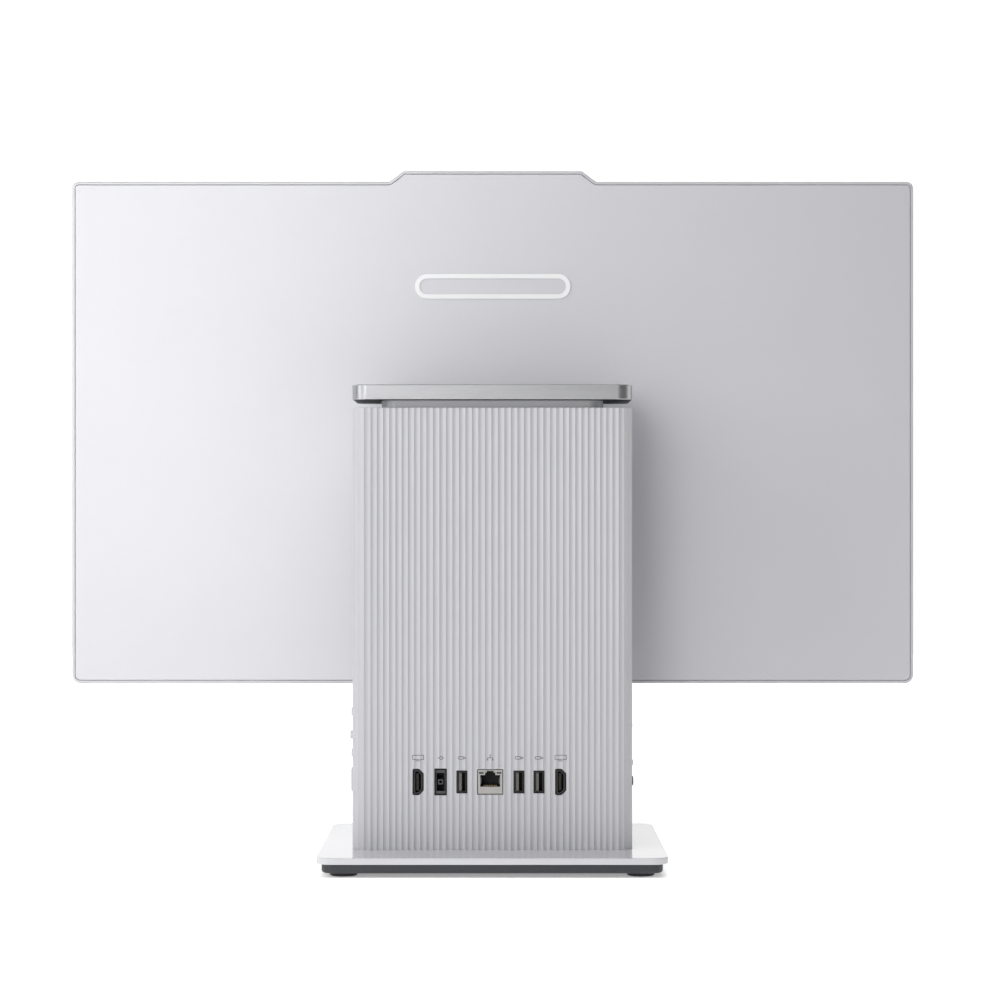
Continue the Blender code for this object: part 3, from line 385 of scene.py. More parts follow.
def add_block(bm, low, high, radius, shade=0, axis="Z"):
    """A box with every edge across and along the axis rounded."""
    order = {"X": (1, 2, 0), "Y": (0, 2, 1), "Z": (0, 1, 2)}[axis]
    a, b = [low[k] for k in order], [high[k] for k in order]
    corners = rectangle(b[0] - a[0], a[1], b[1], radius, (a[0] + b[0]) / 2)
    profile = [(i, level, shade) for i, level in soft_sides(a[2], b[2], radius, radius, 3)]
    add_swept(bm, corners, profile, axis, steps=3)


def soften(made):
    """Smooth shading except at sharp edges, with the flat faces kept flat."""
    made.data.shade_smooth()
    made.data.set_sharp_from_angle(angle=SMOOTH_BELOW)
    weighted = made.modifiers.new("flat_faces", "WEIGHTED_NORMAL")
    weighted.keep_sharp = True
    weighted.weight = 90


def link(thing):
    bpy.context.scene.collection.objects.link(thing)


def finished(name, bm, *finishes):
    """The mesh as an object with soft shading."""
    mesh = bpy.data.meshes.new(name)
    bm.to_mesh(mesh)
    bm.free()
    made = bpy.data.objects.new(name, mesh)
    soften(made)
    link(made)
    for finish in finishes:
        mesh.materials.append(finishes_by_name[finish])
    return made


def swept(name, corners, profile, axis, *finishes, closed=False, steps=10):
    bm = bmesh.new()
    add_swept(bm, corners, profile, axis, closed, steps)
    return finished(name, bm, *finishes)


def carve(target, cutter_bm):
    """Cuts the closed bodies of a bmesh out of the target, for good."""
    target.modifiers.clear()
    cutter = finished(target.name + "_cutter", cutter_bm)
    cutter.modifiers.clear()
    change = target.modifiers.new("carve", "BOOLEAN")
    change.operation = "DIFFERENCE"
    change.solver = "MANIFOLD"
    change.object = cutter
    graph = bpy.context.evaluated_depsgraph_get()
    mesh = bpy.data.meshes.new_from_object(target.evaluated_get(graph))
    target.modifiers.clear()
    target.data = mesh
    soften(target)
    bpy.data.objects.remove(cutter, do_unlink=True)


def stands_for(piece, body, slot, *nodes):
    """The piece rides on the body and replaces the nodes; the slot is not used."""
    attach(piece, body)
    if nodes:
        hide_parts(*nodes)
    return piece


# --- column ---


def column_sizes():
    """Half width, front and rear of the column."""
    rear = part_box("column_rear_shell")[1]
    return rear.x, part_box("column_front_shell")[0].y, rear.y


def point_on_column(travel):
    """The point and outward normal at a distance along the rear half's outline, from +X to -X."""
    half, front, rear = column_sizes_now
    side = (rear - front) / 2 - COLUMN_CORNER
    flat = 2 * (half - COLUMN_CORNER)
    arc = COLUMN_CORNER * math.pi / 2
    if travel <= side:
        return Vector((half, (rear + front) / 2 + travel)), Vector((1, 0))
    travel -= side
    for corner_x, first in ((flat / 2, 0.0), (-flat / 2, math.pi / 2)):
        if travel <= arc:
            angle = first + travel / COLUMN_CORNER
            normal = Vector((math.cos(angle), math.sin(angle)))
            return Vector((corner_x, rear - COLUMN_CORNER)) + normal * COLUMN_CORNER, normal
        travel -= arc
        if first == 0.0 and travel <= flat:
            return Vector((flat / 2 - travel, rear)), Vector((0, 1))
        if first == 0.0:
            travel -= flat
    return Vector((-half, (rear + front) / 2 + side - travel)), Vector((-1, 0))


def ridge_places(shift):
    """Distances along the outline of the ridges between flutes, the row moved by shift."""
    half, front, rear = column_sizes_now
    side = (rear - front) / 2 - COLUMN_CORNER
    total = 2 * side + COLUMN_CORNER * math.pi + 2 * (half - COLUMN_CORNER)
    row = MIDDLE_FLUTES * MIDDLE_PITCH + 2 * OUTER_FLUTES * OUTER_PITCH
    first = (total - row) / 2 - shift
    places = [side * k / SIDE_FLUTES for k in range(SIDE_FLUTES)]
    places += [side + (first - side) * k / CORNER_FLUTES for k in range(CORNER_FLUTES)]
    here = first
    for pitch, count in (
        (OUTER_PITCH, OUTER_FLUTES), (MIDDLE_PITCH, MIDDLE_FLUTES), (OUTER_PITCH, OUTER_FLUTES),
    ):
        for _ in range(count):
            places.append(here)
            here += pitch
    rest = total - side - here
    places += [here + rest * k / CORNER_FLUTES for k in range(CORNER_FLUTES)]
    places += [total - side + side * k / SIDE_FLUTES for k in range(SIDE_FLUTES + 1)]
    return places


def flute_hollow(t):
    return FLUTE_DEPTH * 4 * t * (1 - t)


def fluted_outline(places, seam, sink):
    """The rear half-shell's outline, its outer side sunk by a distance and its inner side plain."""
    outline = []
    for start, end in zip(places, places[1:]):
        for step in range(FLUTE_STEPS):
            t = step / FLUTE_STEPS
            point, normal = point_on_column(start + (end - start) * t)
            outline.append(point - normal * (flute_hollow(t) + sink))
    point, normal = point_on_column(places[-1])
    outline.append(point - normal * sink)
    outline[0].y = outline[-1].y = seam
    half, _, rear = column_sizes_now
    wall_x, wall_y = half - COLUMN_WALL, rear - COLUMN_WALL
    radius = COLUMN_CORNER - COLUMN_WALL
    corners = [
        (-wall_x, seam, 0.05 * MM), (wall_x, seam, 0.05 * MM),
        (wall_x, wall_y, radius), (-wall_x, wall_y, radius),
    ]
    inner = rounded(corners, 6)
    inner = [inner[0]] + inner[:0:-1]
    return [(p.x, p.y) for p in outline] + inner


def fluted_shell(name, node, shift, facing):
    """One half of the column, down to the base plate, its upper outer edge softened."""
    low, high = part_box(node)
    _, front, rear = column_sizes_now
    middle = (front + rear) / 2
    seam = low.y if facing > 0 else 2 * middle - high.y
    places = ridge_places(shift)
    soft = 0.35 * MM
    rings = []
    bottom = low.z - 0.25 * MM
    for sink, level in (
        (0.0, bottom), (0.0, high.z - soft), (0.1 * MM, high.z - 0.12 * MM), (soft, high.z),
    ):
        ring = fluted_outline(places, seam, sink)
        if facing < 0:
            ring = [(x, 2 * middle - y) for x, y in ring]
        rings.append([(x, y, level) for x, y in ring])
    bm = bmesh.new()
    add_rings(bm, rings, [0] * len(rings), False)
    return finished(name, bm, "fluted_plastic")


def port_corners(node, grow):
    """A rear connector's outline in (x, z), grown; an HDMI's has its two sloped corners."""
    low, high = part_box(node)
    if not node.startswith("hdmi"):
        middle = (low.x + high.x) / 2
        return rectangle(
            high.x - low.x + 2 * grow, low.z - grow, high.z + grow, 0.25 * MM, middle
        )
    slope = 2.6 * MM
    r = 0.5 * MM
    corners = [
        (low.x, low.z + slope, r), (low.x + slope, low.z, r), (high.x, low.z, r),
        (high.x, high.z, r), (low.x + slope, high.z, r), (low.x, high.z - slope, r),
    ]
    return inset(corners, -grow)


def centre_of(node):
    low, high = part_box(node)
    return (low + high) / 2


def make_rear_shell():
    """The fluted rear half, with an opening for everything its rear and sides hold."""
    shell = fluted_shell("rear_shell_fluted", "column_rear_shell", REAR_FLUTE_SHIFT, 1)
    half, _, rear = column_sizes_now
    cuts = bmesh.new()
    for node in REAR_PORTS:
        through = [(0, rear - 5 * MM), (0, rear + MM)]
        add_swept(cuts, port_corners(node, WINDOW_GAP), through, "Y", steps=2)
    inside = half - COLUMN_WALL - MM
    for node in SIDE_BUTTONS:
        place = centre_of(node)
        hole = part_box(node)[1].z - place.z - 0.9 * MM + BUTTON_GAP
        add_turned(cuts, (place.y, place.z), "X", [(hole, inside), (hole, half + MM)])
    side_port = centre_of("side_usb_port")
    reach = 7.3 * MM
    opening = rectangle(
        7.0 * MM, side_port.z - reach, side_port.z + reach, 0.6 * MM, side_port.y
    )
    add_swept(cuts, opening, [(0, inside), (0, half + MM)], "X", steps=3)
    for node, width, height, radius in (
        ("status_light", 2.6 * MM, 2.6 * MM, 1.25 * MM),
        ("usb_c_port", 9.5 * MM, 3.9 * MM, 1.9 * MM),
        ("audio_jack", 6.4 * MM, 6.4 * MM, 3.15 * MM),
    ):
        place = centre_of(node)
        hole = rectangle(width, place.z - height / 2, place.z + height / 2, radius, place.y)
        add_swept(cuts, hole, [(0, -half - MM), (0, -inside)], "X", steps=6)
    carve(shell, cuts)
    stands_for(shell, "root", "fluted_plastic", "column_rear_shell")


def front_valleys(reach):
    """The x of every second flute's middle on the front, out to a reach each side."""
    places = ridge_places(0.0)
    middles = [point_on_column((a + b) / 2) for a, b in zip(places, places[1:])]
    row = [point.x for point, normal in middles if normal.y == 1]
    return [x for x in row[len(row) // 2 % 2::2] if abs(x) <= reach]


def make_front_shell():
    """The front half, with the air slots' ends rounded."""
    shell = fluted_shell("front_shell_fluted", "column_front_shell", 0.0, -1)
    _, front, _ = column_sizes_now
    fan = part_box("fan_housing")
    cuts = bmesh.new()
    fan_z = (fan[0].z + fan[1].z) / 2
    for reach, z, height in ((66 * MM, 40 * MM, 30 * MM), (fan[1].x, fan_z, 70 * MM)):
        for x in front_valleys(reach):
            slot = rectangle(SLOT_WIDTH, z - height / 2, z + height / 2, SLOT_WIDTH * 0.49, x)
            add_swept(cuts, slot, [(0, front - MM), (0, front + 4 * MM)], "Y", steps=3)
    carve(shell, cuts)
    stands_for(shell, "root", "fluted_plastic", "column_front_shell")


# --- arm, neck and base ---


def node_corners(node, radius):
    low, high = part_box(node)
    return rectangle(high.x - low.x, low.y, high.y, radius)


def make_arm():
    """The brushed plate with a narrow chamfer along its edges, and a painted dark reflection on its
    underside.
    """
    low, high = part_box("arm_plate")
    chamfer = 0.25 * MM
    profile = [
        (2 * chamfer, low.z, 2), (chamfer, low.z, 1), (0, low.z + chamfer, 0),
        (0, high.z - chamfer, 1), (chamfer, high.z, 0), (2 * chamfer, high.z, 0),
    ]
    arm = swept(
        "arm_plate_brushed", node_corners("arm_plate", COLUMN_CORNER), profile, "Z",
        "brushed_aluminium", "edge_metal", "arm_underside_painted_dark", steps=24,
    )
    stands_for(arm, "root", "brushed_aluminium", "arm_plate")


def make_neck():
    low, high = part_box("neck")
    neck = swept(
        "neck_block", node_corners("neck", 9 * MM), soft_sides(low.z, high.z, 0.1 * MM, 0.3 * MM),
        "Z", "neck_satin", steps=16,
    )
    stands_for(neck, "root", "silver_plastic", "neck")


def make_hinge_cover():
    """The open sleeve round the hinge, with rounded lips."""
    low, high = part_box("hinge_cover")
    corners = rectangle(high.x - low.x, low.z, high.z, 2.5 * MM)
    wall = 1.2 * MM
    lip = 0.35 * MM
    profile = [
        (wall, low.y + lip), (wall - lip, low.y), (lip, low.y), (0, low.y + lip),
        (0, high.y - lip), (lip, high.y), (wall, high.y), (wall, high.y - 2 * MM),
    ]
    sleeve = swept("hinge_sleeve", corners, profile, "Y", "silver_plastic", closed=True, steps=8)
    stands_for(sleeve, "root", "silver_plastic", "hinge_cover")


def make_base():
    """Plate, tray and four feet."""
    low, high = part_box("base_plate")
    plate = swept(
        "base_plate_satin", node_corners("base_plate", 10 * MM),
        soft_sides(low.z, high.z, 0.5 * MM, 0.55 * MM), "Z", "plate_paint", steps=16,
    )
    stands_for(plate, "root", "plate_paint", "base_plate")
    low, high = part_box("base_tray")
    wall = 4.6 * MM
    profile = soft_sides(low.z, high.z, 2 * MM, 0.3 * MM, 8)
    profile += [(wall, high.z), (wall, low.z + 1.4 * MM)]
    tray = swept(
        "base_tray_moulded", node_corners("base_tray", 6.9 * MM), profile, "Z", "dark_plastic",
        steps=12,
    )
    stands_for(tray, "root", "dark_plastic", "base_tray")
    for node in ("foot_front_left", "foot_front_right", "foot_rear_left", "foot_rear_right"):
        low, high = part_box(node)
        radius = (high.x - low.x) / 2
        bm = bmesh.new()
        profile = [
            (radius - 1.8 * MM, 0.25 * MM), (radius - 1.9 * MM, low.z),
            (radius - 0.7 * MM, low.z), (radius - 0.2 * MM, 0.2 * MM), (radius, 0.7 * MM),
            (radius, high.z),
        ]
        middle = (low + high) / 2
        add_turned(bm, (middle.x, middle.y), "Z", profile, 48)
        foot = finished(node + "_pad", bm, "rubber")
        stands_for(foot, "root", "rubber", node)


# --- display ---


def display_corners():
    """The display's outline in (x, z), with the raised housing at the middle of its top edge."""
    low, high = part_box("display_mid_frame")
    half = high.x
    shoulder = high.z - (BUMP_FOOT - BUMP_SHOULDER) * BUMP_SLOPE
    return [
        (-half, low.z, LOWER_CORNER), (half, low.z, LOWER_CORNER),
        (half, shoulder, UPPER_CORNER), (BUMP_FOOT, shoulder, BUMP_BLEND),
        (BUMP_SHOULDER, high.z, BUMP_BLEND), (-BUMP_SHOULDER, high.z, BUMP_BLEND),
        (-BUMP_FOOT, shoulder, BUMP_BLEND), (-half, shoulder, UPPER_CORNER),
    ]


def make_display_back():
    """The flat rear panel with its cable hole, and the raised ring on it."""
    low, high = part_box("display_rear_cover")
    panel = swept(
        "rear_panel", inset(display_corners(), RIM + PANEL_GAP),
        soft_sides(low.y, high.y, 0.1 * MM, 0.35 * MM), "Y", "silver_plastic", steps=14,
    )
    cable = centre_of("display_cable_upper")
    hole = bmesh.new()
    radius = 2 * MM
    add_turned(
        hole, (cable.x, cable.z), "Y", [(radius, low.y - MM), (radius, high.y + MM)], 24
    )
    carve(panel, hole)
    stands_for(panel, "display", "silver_plastic", "display_rear_cover")
    low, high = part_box("rear_emblem")
    height = high.z - low.z
    bar = rectangle(high.x - low.x, low.z, high.z, height / 2 - 0.1 * MM)
    band = 3 * MM
    soft = 0.15 * MM
    profile = [
        (0, low.y), (0, high.y - soft), (soft, high.y), (band - soft, high.y),
        (band, high.y - soft), (band, low.y),
    ]
    ring = swept("rear_emblem_ring", bar, profile, "Y", "emblem", closed=True, steps=24)
    stands_for(ring, "display", "emblem", "rear_emblem")


def make_rim():
    """The rim round the display, its rear edge rounded, with the ledge that carries the panel."""
    low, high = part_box("display_mid_frame")
    panel_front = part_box("display_rear_cover")[0].y
    ledge = panel_front - 0.3 * MM
    reach = 5.5 * MM
    thickness = 1.6 * MM
    profile = [(RIM, low.y), (0.12 * MM, low.y), (0, low.y + 0.12 * MM)]
    turns = 6
    profile += soft_sides(low.y, high.y, 0, 0.8 * MM, turns)[turns + 1:]
    profile += [
        (RIM - 0.2 * MM, high.y), (RIM, high.y - 0.2 * MM), (RIM, ledge), (reach, ledge),
        (reach, ledge - thickness), (RIM, ledge - thickness),
    ]
    rim = swept(
        "display_rim", display_corners(), profile, "Y", "rim_plastic", closed=True, steps=14
    )
    stands_for(rim, "display", "rim_plastic", "display_mid_frame")


def make_front():
    """Bezel with its rounded outer edge, camera window and shutter track, and the glass."""
    low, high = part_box("front_bezel")
    bezel = swept(
        "screen_bezel", display_corners(), soft_sides(high.y, low.y, 0.12 * MM, 0.7 * MM, 5),
        "Y", "silver_plastic", steps=14,
    )
    glass_low, glass_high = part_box("screen_glass")
    glass_corners = rectangle(
        glass_high.x - glass_low.x, glass_low.z, glass_high.z, 2.5 * MM
    )
    cuts = bmesh.new()
    through = [(0, low.y - MM), (0, high.y + MM)]
    add_swept(cuts, inset(glass_corners, -0.3 * MM), through, "Y", steps=8)
    camera = centre_of("camera_module")
    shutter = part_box("camera_shutter")
    track = rectangle(
        18.6 * MM, shutter[0].z - 0.3 * MM, shutter[1].z + 0.3 * MM, 1 * MM, -4 * MM
    )
    add_swept(cuts, track, [(0, low.y - MM), (0, low.y + 1.1 * MM)], "Y", steps=5)
    carve(bezel, cuts)
    lens_z = (shutter[0].z + shutter[1].z) / 2
    hole = bmesh.new()
    bore = 2.4 * MM
    add_turned(hole, (camera.x, lens_z), "Y", [(bore, low.y - MM), (bore, high.y + MM)], 32)
    carve(bezel, hole)
    stands_for(bezel, "display", "silver_plastic", "front_bezel")
    glass = swept(
        "screen_glass_sheet", glass_corners,
        soft_sides(glass_high.y, glass_low.y, 0.1 * MM, 0.3 * MM, 4), "Y", "screen", steps=8,
    )
    stands_for(glass, "display", "screen", "screen_glass")


# --- connectors ---

BODY, LINER, INSERT, CONTACT = 0, 1, 2, 3


def add_bar(bm, low, high, shade):
    """A plain bar, for the fine contacts."""
    size = [b - a for a, b in zip(low, high)]
    middle = [(a + b) / 2 for a, b in zip(low, high)]
    place = Matrix.Translation(middle) @ Matrix.Diagonal((*size, 1.0))
    made = bmesh.ops.create_cube(bm, size=1.0, matrix=place)
    for face in {face for vert in made["verts"] for face in vert.link_faces}:
        face.material_index = shade


def cup_profile(back, face, wall, depth, step=0.4 * MM, metal=0.2 * MM):
    """A socket's side, lip and mouth, with a thin metal liner just inside, down to its floor."""
    outward = 1 if face > back else -1
    soft = 0.2 * MM
    return [
        (0, back, BODY), (0, face - outward * soft, BODY), (soft, face, BODY), (wall, face, BODY),
        (wall, face - outward * step, LINER), (wall + metal, face - outward * step, LINER),
        (wall + metal, face - outward * depth, BODY),
    ]


def add_tongue(bm, x0, x1, z0, z1, back, face, contacts, side):
    """A connector's tongue, with contacts along one or both of its flat sides."""
    add_block(bm, (x0, back, z0), (x1, face, z1), 0.15 * MM, INSERT, "Y")
    pitch = (z1 - z0) / (contacts + 0.6)
    for k in range(contacts):
        z = z0 + pitch * (k + 0.8)
        for outer, sign in ((x0, -1), (x1, 1)):
            if side in (0, sign):
                near, far = sorted((outer - sign * 0.1 * MM, outer + sign * 0.12 * MM))
                add_bar(bm, (near, back, z - pitch / 4), (far, face - MM, z + pitch / 4), CONTACT)


def make_hdmi(node):
    """An HDMI socket: black frame, metal liner and a tongue with contacts on both sides."""
    low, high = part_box(node)
    bm = bmesh.new()
    profile = cup_profile(low.y, high.y, 0.9 * MM, 12 * MM)
    add_swept(bm, port_corners(node, 0), profile, "Y", steps=4)
    middle = (low + high) / 2
    x0, x1 = middle.x - 0.3 * MM, middle.x + 0.9 * MM
    half = 5.3 * MM
    deep, end = high.y - 13 * MM, high.y - 0.8 * MM
    add_tongue(bm, x0, x1, middle.z - half, middle.z + half, deep, end, 9, 0)
    port = finished(node + "_socket", bm, "port_black", "liner", "port_black", "gold")
    stands_for(port, "root", "black_plastic", node)


def make_usb(node):
    """A USB-A socket: black frame, metal liner and the tongue on its +X side."""
    low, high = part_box(node)
    bm = bmesh.new()
    profile = cup_profile(low.y, high.y, 0.55 * MM, 11.5 * MM, 0.3 * MM, 0.15 * MM)
    add_swept(bm, port_corners(node, 0), profile, "Y", steps=4)
    middle = (low + high) / 2
    x0, x1 = middle.x + 0.15 * MM, middle.x + 1.85 * MM
    half = 5.5 * MM
    deep, end = high.y - 12 * MM, high.y - 0.9 * MM
    add_tongue(bm, x0, x1, middle.z - half, middle.z + half, deep, end, 4, -1)
    port = finished(node + "_socket", bm, "port_black", "liner", "port_tongue", "gold")
    stands_for(port, "root", "black_plastic", node)


def make_power_inlet():
    """A slim rectangular inlet: grey face plate in a black frame, and a square pin in its well."""
    low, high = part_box("power_inlet")
    middle = (low + high) / 2
    face = high.y
    bm = bmesh.new()
    plate = face - 0.4 * MM
    profile = [
        (0, low.y, BODY), (0, face - 0.2 * MM, BODY), (0.2 * MM, face, BODY),
        (0.6 * MM, face, BODY), (0.65 * MM, plate, INSERT),
    ]
    add_swept(bm, port_corners("power_inlet", 0), profile, "Y", steps=4)
    port = finished("power_inlet_socket", bm, "port_black", "liner", "port_grey")
    well = bmesh.new()
    outline = rectangle(4.9 * MM, middle.z - 5.5 * MM, middle.z + 5.5 * MM, 0.4 * MM, middle.x)
    add_swept(well, outline, [(0, face - 11 * MM), (0, face + MM)], "Y", steps=4)
    carve(port, well)
    bm = bmesh.new()
    half = 1.6 * MM
    pin = rectangle(2 * half, middle.z - half, middle.z + half, 0.3 * MM, middle.x)
    rim = 0.75 * MM
    profile = [
        (0, face - 11.2 * MM), (0, plate - 0.2 * MM), (0.15 * MM, plate), (rim, plate),
        (rim, face - 9 * MM),
    ]
    add_swept(bm, pin, profile, "Y", closed=True, steps=4)
    pin = finished("power_inlet_pin", bm, "port_grey")
    stands_for(port, "root", "black_plastic", "power_inlet")
    stands_for(pin, "root", "black_plastic")


def lan_mouth(x, z):
    """The mouth of the network socket, with the stepped notch for the latch above it."""
    low = z - 2.9 * MM
    right = [(6.0, 4.2), (3.1, 4.2), (3.1, 5.7), (2.1, 5.7), (2.1, 6.7)]
    right = [(x + u * MM, z + v * MM) for u, v in right]
    left = [(2 * x - u, v) for u, v in reversed(right)]
    return [(x - 6 * MM, low), (x + 6 * MM, low)] + right + left


def make_lan_port():
    """A metal-faced network socket, with its black well, two lights, springs and contacts."""
    low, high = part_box("lan_port")
    middle = (low + high) / 2
    face = high.y
    bm = bmesh.new()
    sides = [(i, level, BODY) for i, level in soft_sides(low.y, face, 0.1 * MM, 0.3 * MM, 3)]
    add_swept(bm, port_corners("lan_port", 0), sides, "Y", steps=4)
    port = finished("lan_port_socket", bm, "lan_metal", "port_black", "port_grey", "gold")
    well = bmesh.new()
    mouth = lan_mouth(middle.x, middle.z)
    rings = [[(u, level, v) for u, v in mouth] for level in (face - 12 * MM, face + MM)]
    add_rings(well, rings, [LINER, LINER], False)
    light_x, light_z = 5.4 * MM, middle.z + 5.5 * MM
    lights = [
        rectangle(2.9 * MM, light_z - 0.55 * MM, light_z + 0.55 * MM, 0.2 * MM, middle.x + offset)
        for offset in (-light_x, light_x)
    ]
    for outline in lights:
        hollow = [(0, face - 0.6 * MM, INSERT), (0, face + MM, INSERT)]
        add_swept(well, outline, hollow, "Y", steps=2)
    carve(port, well)
    stands_for(port, "root", "nickel", "lan_port")
    make_lan_contacts(middle, face)


def make_lan_contacts(middle, face):
    """The network socket's eight contacts and the springs in its two side walls."""
    bm = bmesh.new()
    bottom = middle.z - 2.9 * MM
    for k in range(8):
        x = middle.x + (k - 3.5) * 1.02 * MM
        low = (x - 0.2 * MM, face - 11 * MM, bottom)
        add_bar(bm, low, (x + 0.2 * MM, face - 1.2 * MM, bottom + 0.9 * MM), 0)
    contacts = finished("lan_port_contacts", bm, "gold")
    bm = bmesh.new()
    for side in (-1, 1):
        wall = middle.x + side * 6 * MM
        near, far = sorted((wall - side * 0.75 * MM, wall + side * 0.1 * MM))
        low = (near, face - 7 * MM, middle.z - 1.2 * MM)
        add_block(bm, low, (far, face - 0.7 * MM, middle.z + 2.4 * MM), 0.2 * MM, 0, "Y")
    springs = finished("lan_port_springs", bm, "liner")
    stands_for(contacts, "root", "nickel")
    stands_for(springs, "root", "nickel")


def make_rear_ports():
    for node, kind in REAR_PORTS.items():
        if kind == "hdmi":
            make_hdmi(node)
        if kind == "usb":
            make_usb(node)
    make_power_inlet()
    make_lan_port()


def make_side_usb():
    """The side's USB-A socket, framed in the shell's plastic."""
    low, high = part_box("side_usb_port")
    middle = (low + high) / 2
    corners = rectangle(high.y - low.y, low.z, high.z, 0.5 * MM, middle.y)
    face = high.x
    bm = bmesh.new()
    add_swept(bm, corners, cup_profile(low.x, face, 0.9 * MM, 12 * MM), "X", steps=4)
    y0, y1 = middle.y + 0.15 * MM, middle.y + 1.85 * MM
    half = 5.3 * MM
    deep = face - 12.5 * MM
    tongue_low = (deep, y0, middle.z - half)
    tongue_high = (face - 1.2 * MM, y1, middle.z + half)
    add_block(bm, tongue_low, tongue_high, 0.15 * MM, INSERT, "X")
    for k in range(4):
        z = middle.z + (k - 1.5) * 2.4 * MM
        contact_low = (deep, y0 - 0.1 * MM, z - 0.5 * MM)
        contact_high = (face - 2.2 * MM, y0 + 0.1 * MM, z + 0.5 * MM)
        add_bar(bm, contact_low, contact_high, CONTACT)
    port = finished("side_usb_socket", bm, "fluted_plastic", "liner", "port_black", "gold")
    stands_for(port, "root", "black_plastic", "side_usb_port")


def make_usb_c():
    """The USB-C socket: a thin oval metal shell with its tongue."""
    low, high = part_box("usb_c_port")
    middle = (low + high) / 2
    corners = rectangle(high.y - low.y, low.z, high.z, (high.z - low.z) * 0.49, middle.y)
    bm = bmesh.new()
    face = low.x
    profile = [
        (0, high.x, 0), (0, face + 0.1 * MM, 0), (0.1 * MM, face, 0), (0.35 * MM, face, 0),
        (0.35 * MM, face + 7 * MM, 0),
    ]
    add_swept(bm, corners, profile, "X", steps=10)
    add_block(
        bm, (face + MM, middle.y - 3.3 * MM, middle.z - 0.35 * MM),
        (face + 8 * MM, middle.y + 3.3 * MM, middle.z + 0.35 * MM), 0.1 * MM, 1, "X",
    )
    port = finished("usb_c_socket", bm, "nickel", "port_black")
    stands_for(port, "root", "nickel", "usb_c_port")


def make_jack():
    """The headset jack: a black barrel with a bright contact ring in its bore."""
    low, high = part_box("audio_jack")
    middle = (low + high) / 2
    face = low.x
    bm = bmesh.new()
    profile = [
        (4 * MM, high.x), (4 * MM, face + 3.4 * MM), (2.8 * MM, face + 3.3 * MM),
        (2.8 * MM, face + 0.25 * MM), (2.55 * MM, face), (1.8 * MM, face),
        (1.75 * MM, face + 1.1 * MM), (1.75 * MM, face + 11 * MM),
    ]
    add_turned(bm, (middle.y, middle.z), "X", profile)
    ring = [
        (1.74 * MM, face + 0.9 * MM), (1.74 * MM, face + 1.4 * MM),
        (1.6 * MM, face + 1.4 * MM), (1.6 * MM, face + 0.9 * MM),
    ]
    add_turned(bm, (middle.y, middle.z), "X", ring, 32, 1, closed=True)
    jack = finished("audio_jack_barrel", bm, "port_black", "liner")
    stands_for(jack, "root", "black_plastic", "audio_jack")


def make_status_light():
    """The domed end of the light pipe in the column's side."""
    low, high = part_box("status_light")
    middle = (low + high) / 2
    radius = (high.z - low.z) / 2
    profile = [
        (radius, high.x), (radius, low.x + 0.4 * MM), (radius * 0.8, low.x + 0.12 * MM),
        (radius * 0.4, low.x),
    ]
    bm = bmesh.new()
    add_turned(bm, (middle.y, middle.z), "X", profile, 24)
    light = finished("status_light_lens", bm, "lens")
    stands_for(light, "root", "black_plastic", "status_light")


def make_side_buttons():
    """Each button: a slightly dished face with a soft rim, and the collar that retains it."""
    for node in SIDE_BUTTONS:
        low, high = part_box(node)
        middle = (low + high) / 2
        collar = (high.z - low.z) / 2
        radius = collar - 0.9 * MM
        face = high.x
        profile = [
            (collar, low.x), (collar, low.x + 1.2 * MM), (radius, low.x + 1.21 * MM),
            (radius, face - 0.4 * MM), (radius - 0.12 * MM, face - 0.12 * MM),
            (radius - 0.4 * MM, face), (radius * 0.6, face - 0.08 * MM),
            (radius * 0.25, face - 0.12 * MM),
        ]
        bm = bmesh.new()
        add_turned(bm, (middle.y, middle.z), "X", profile)
        button = finished(node + "_cap", bm, "silver_plastic")
        stands_for(button, node, "silver_plastic", node)


# --- printed symbols ---


def rear_surface():
    """The rear face's y at any x on its straight row of flutes."""
    _, _, rear = column_sizes_now
    ridges = [point_on_column(p) for p in ridge_places(REAR_FLUTE_SHIFT)]
    row = sorted(point.x for point, normal in ridges if normal.y == 1)

    def at(x):
        for left, right in zip(row, row[1:]):
            if left <= x <= right:
                return rear - flute_hollow((x - left) / (right - left))
        return rear

    return at


def add_stroke(bm, surface_at, start, end, width):
    """A printed line from one (x, z) to another, laid on the flutes."""
    start, end = Vector(start), Vector(end)
    along = end - start
    steps = max(1, round(along.length / (0.3 * MM)))
    across = Vector((-along.y, along.x)).normalized() * width / 2
    lift = 0.02 * MM
    edges = []
    for k in range(steps + 1):
        point = start + along * k / steps
        pair = (point + across, point - across)
        edges.append([bm.verts.new((p.x, surface_at(p.x) + lift, p.y)) for p in pair])
    for (a, b), (c, d) in zip(edges, edges[1:]):
        bm.faces.new((a, b, d, c))


def chain(*points):
    """The strokes that join the points in turn."""
    return list(zip(points, points[1:]))


def ring_of(u, v, radius):
    turns = [2 * math.pi * k / 12 for k in range(13)]
    return chain(*((u + radius * math.cos(a), v + radius * math.sin(a)) for a in turns))


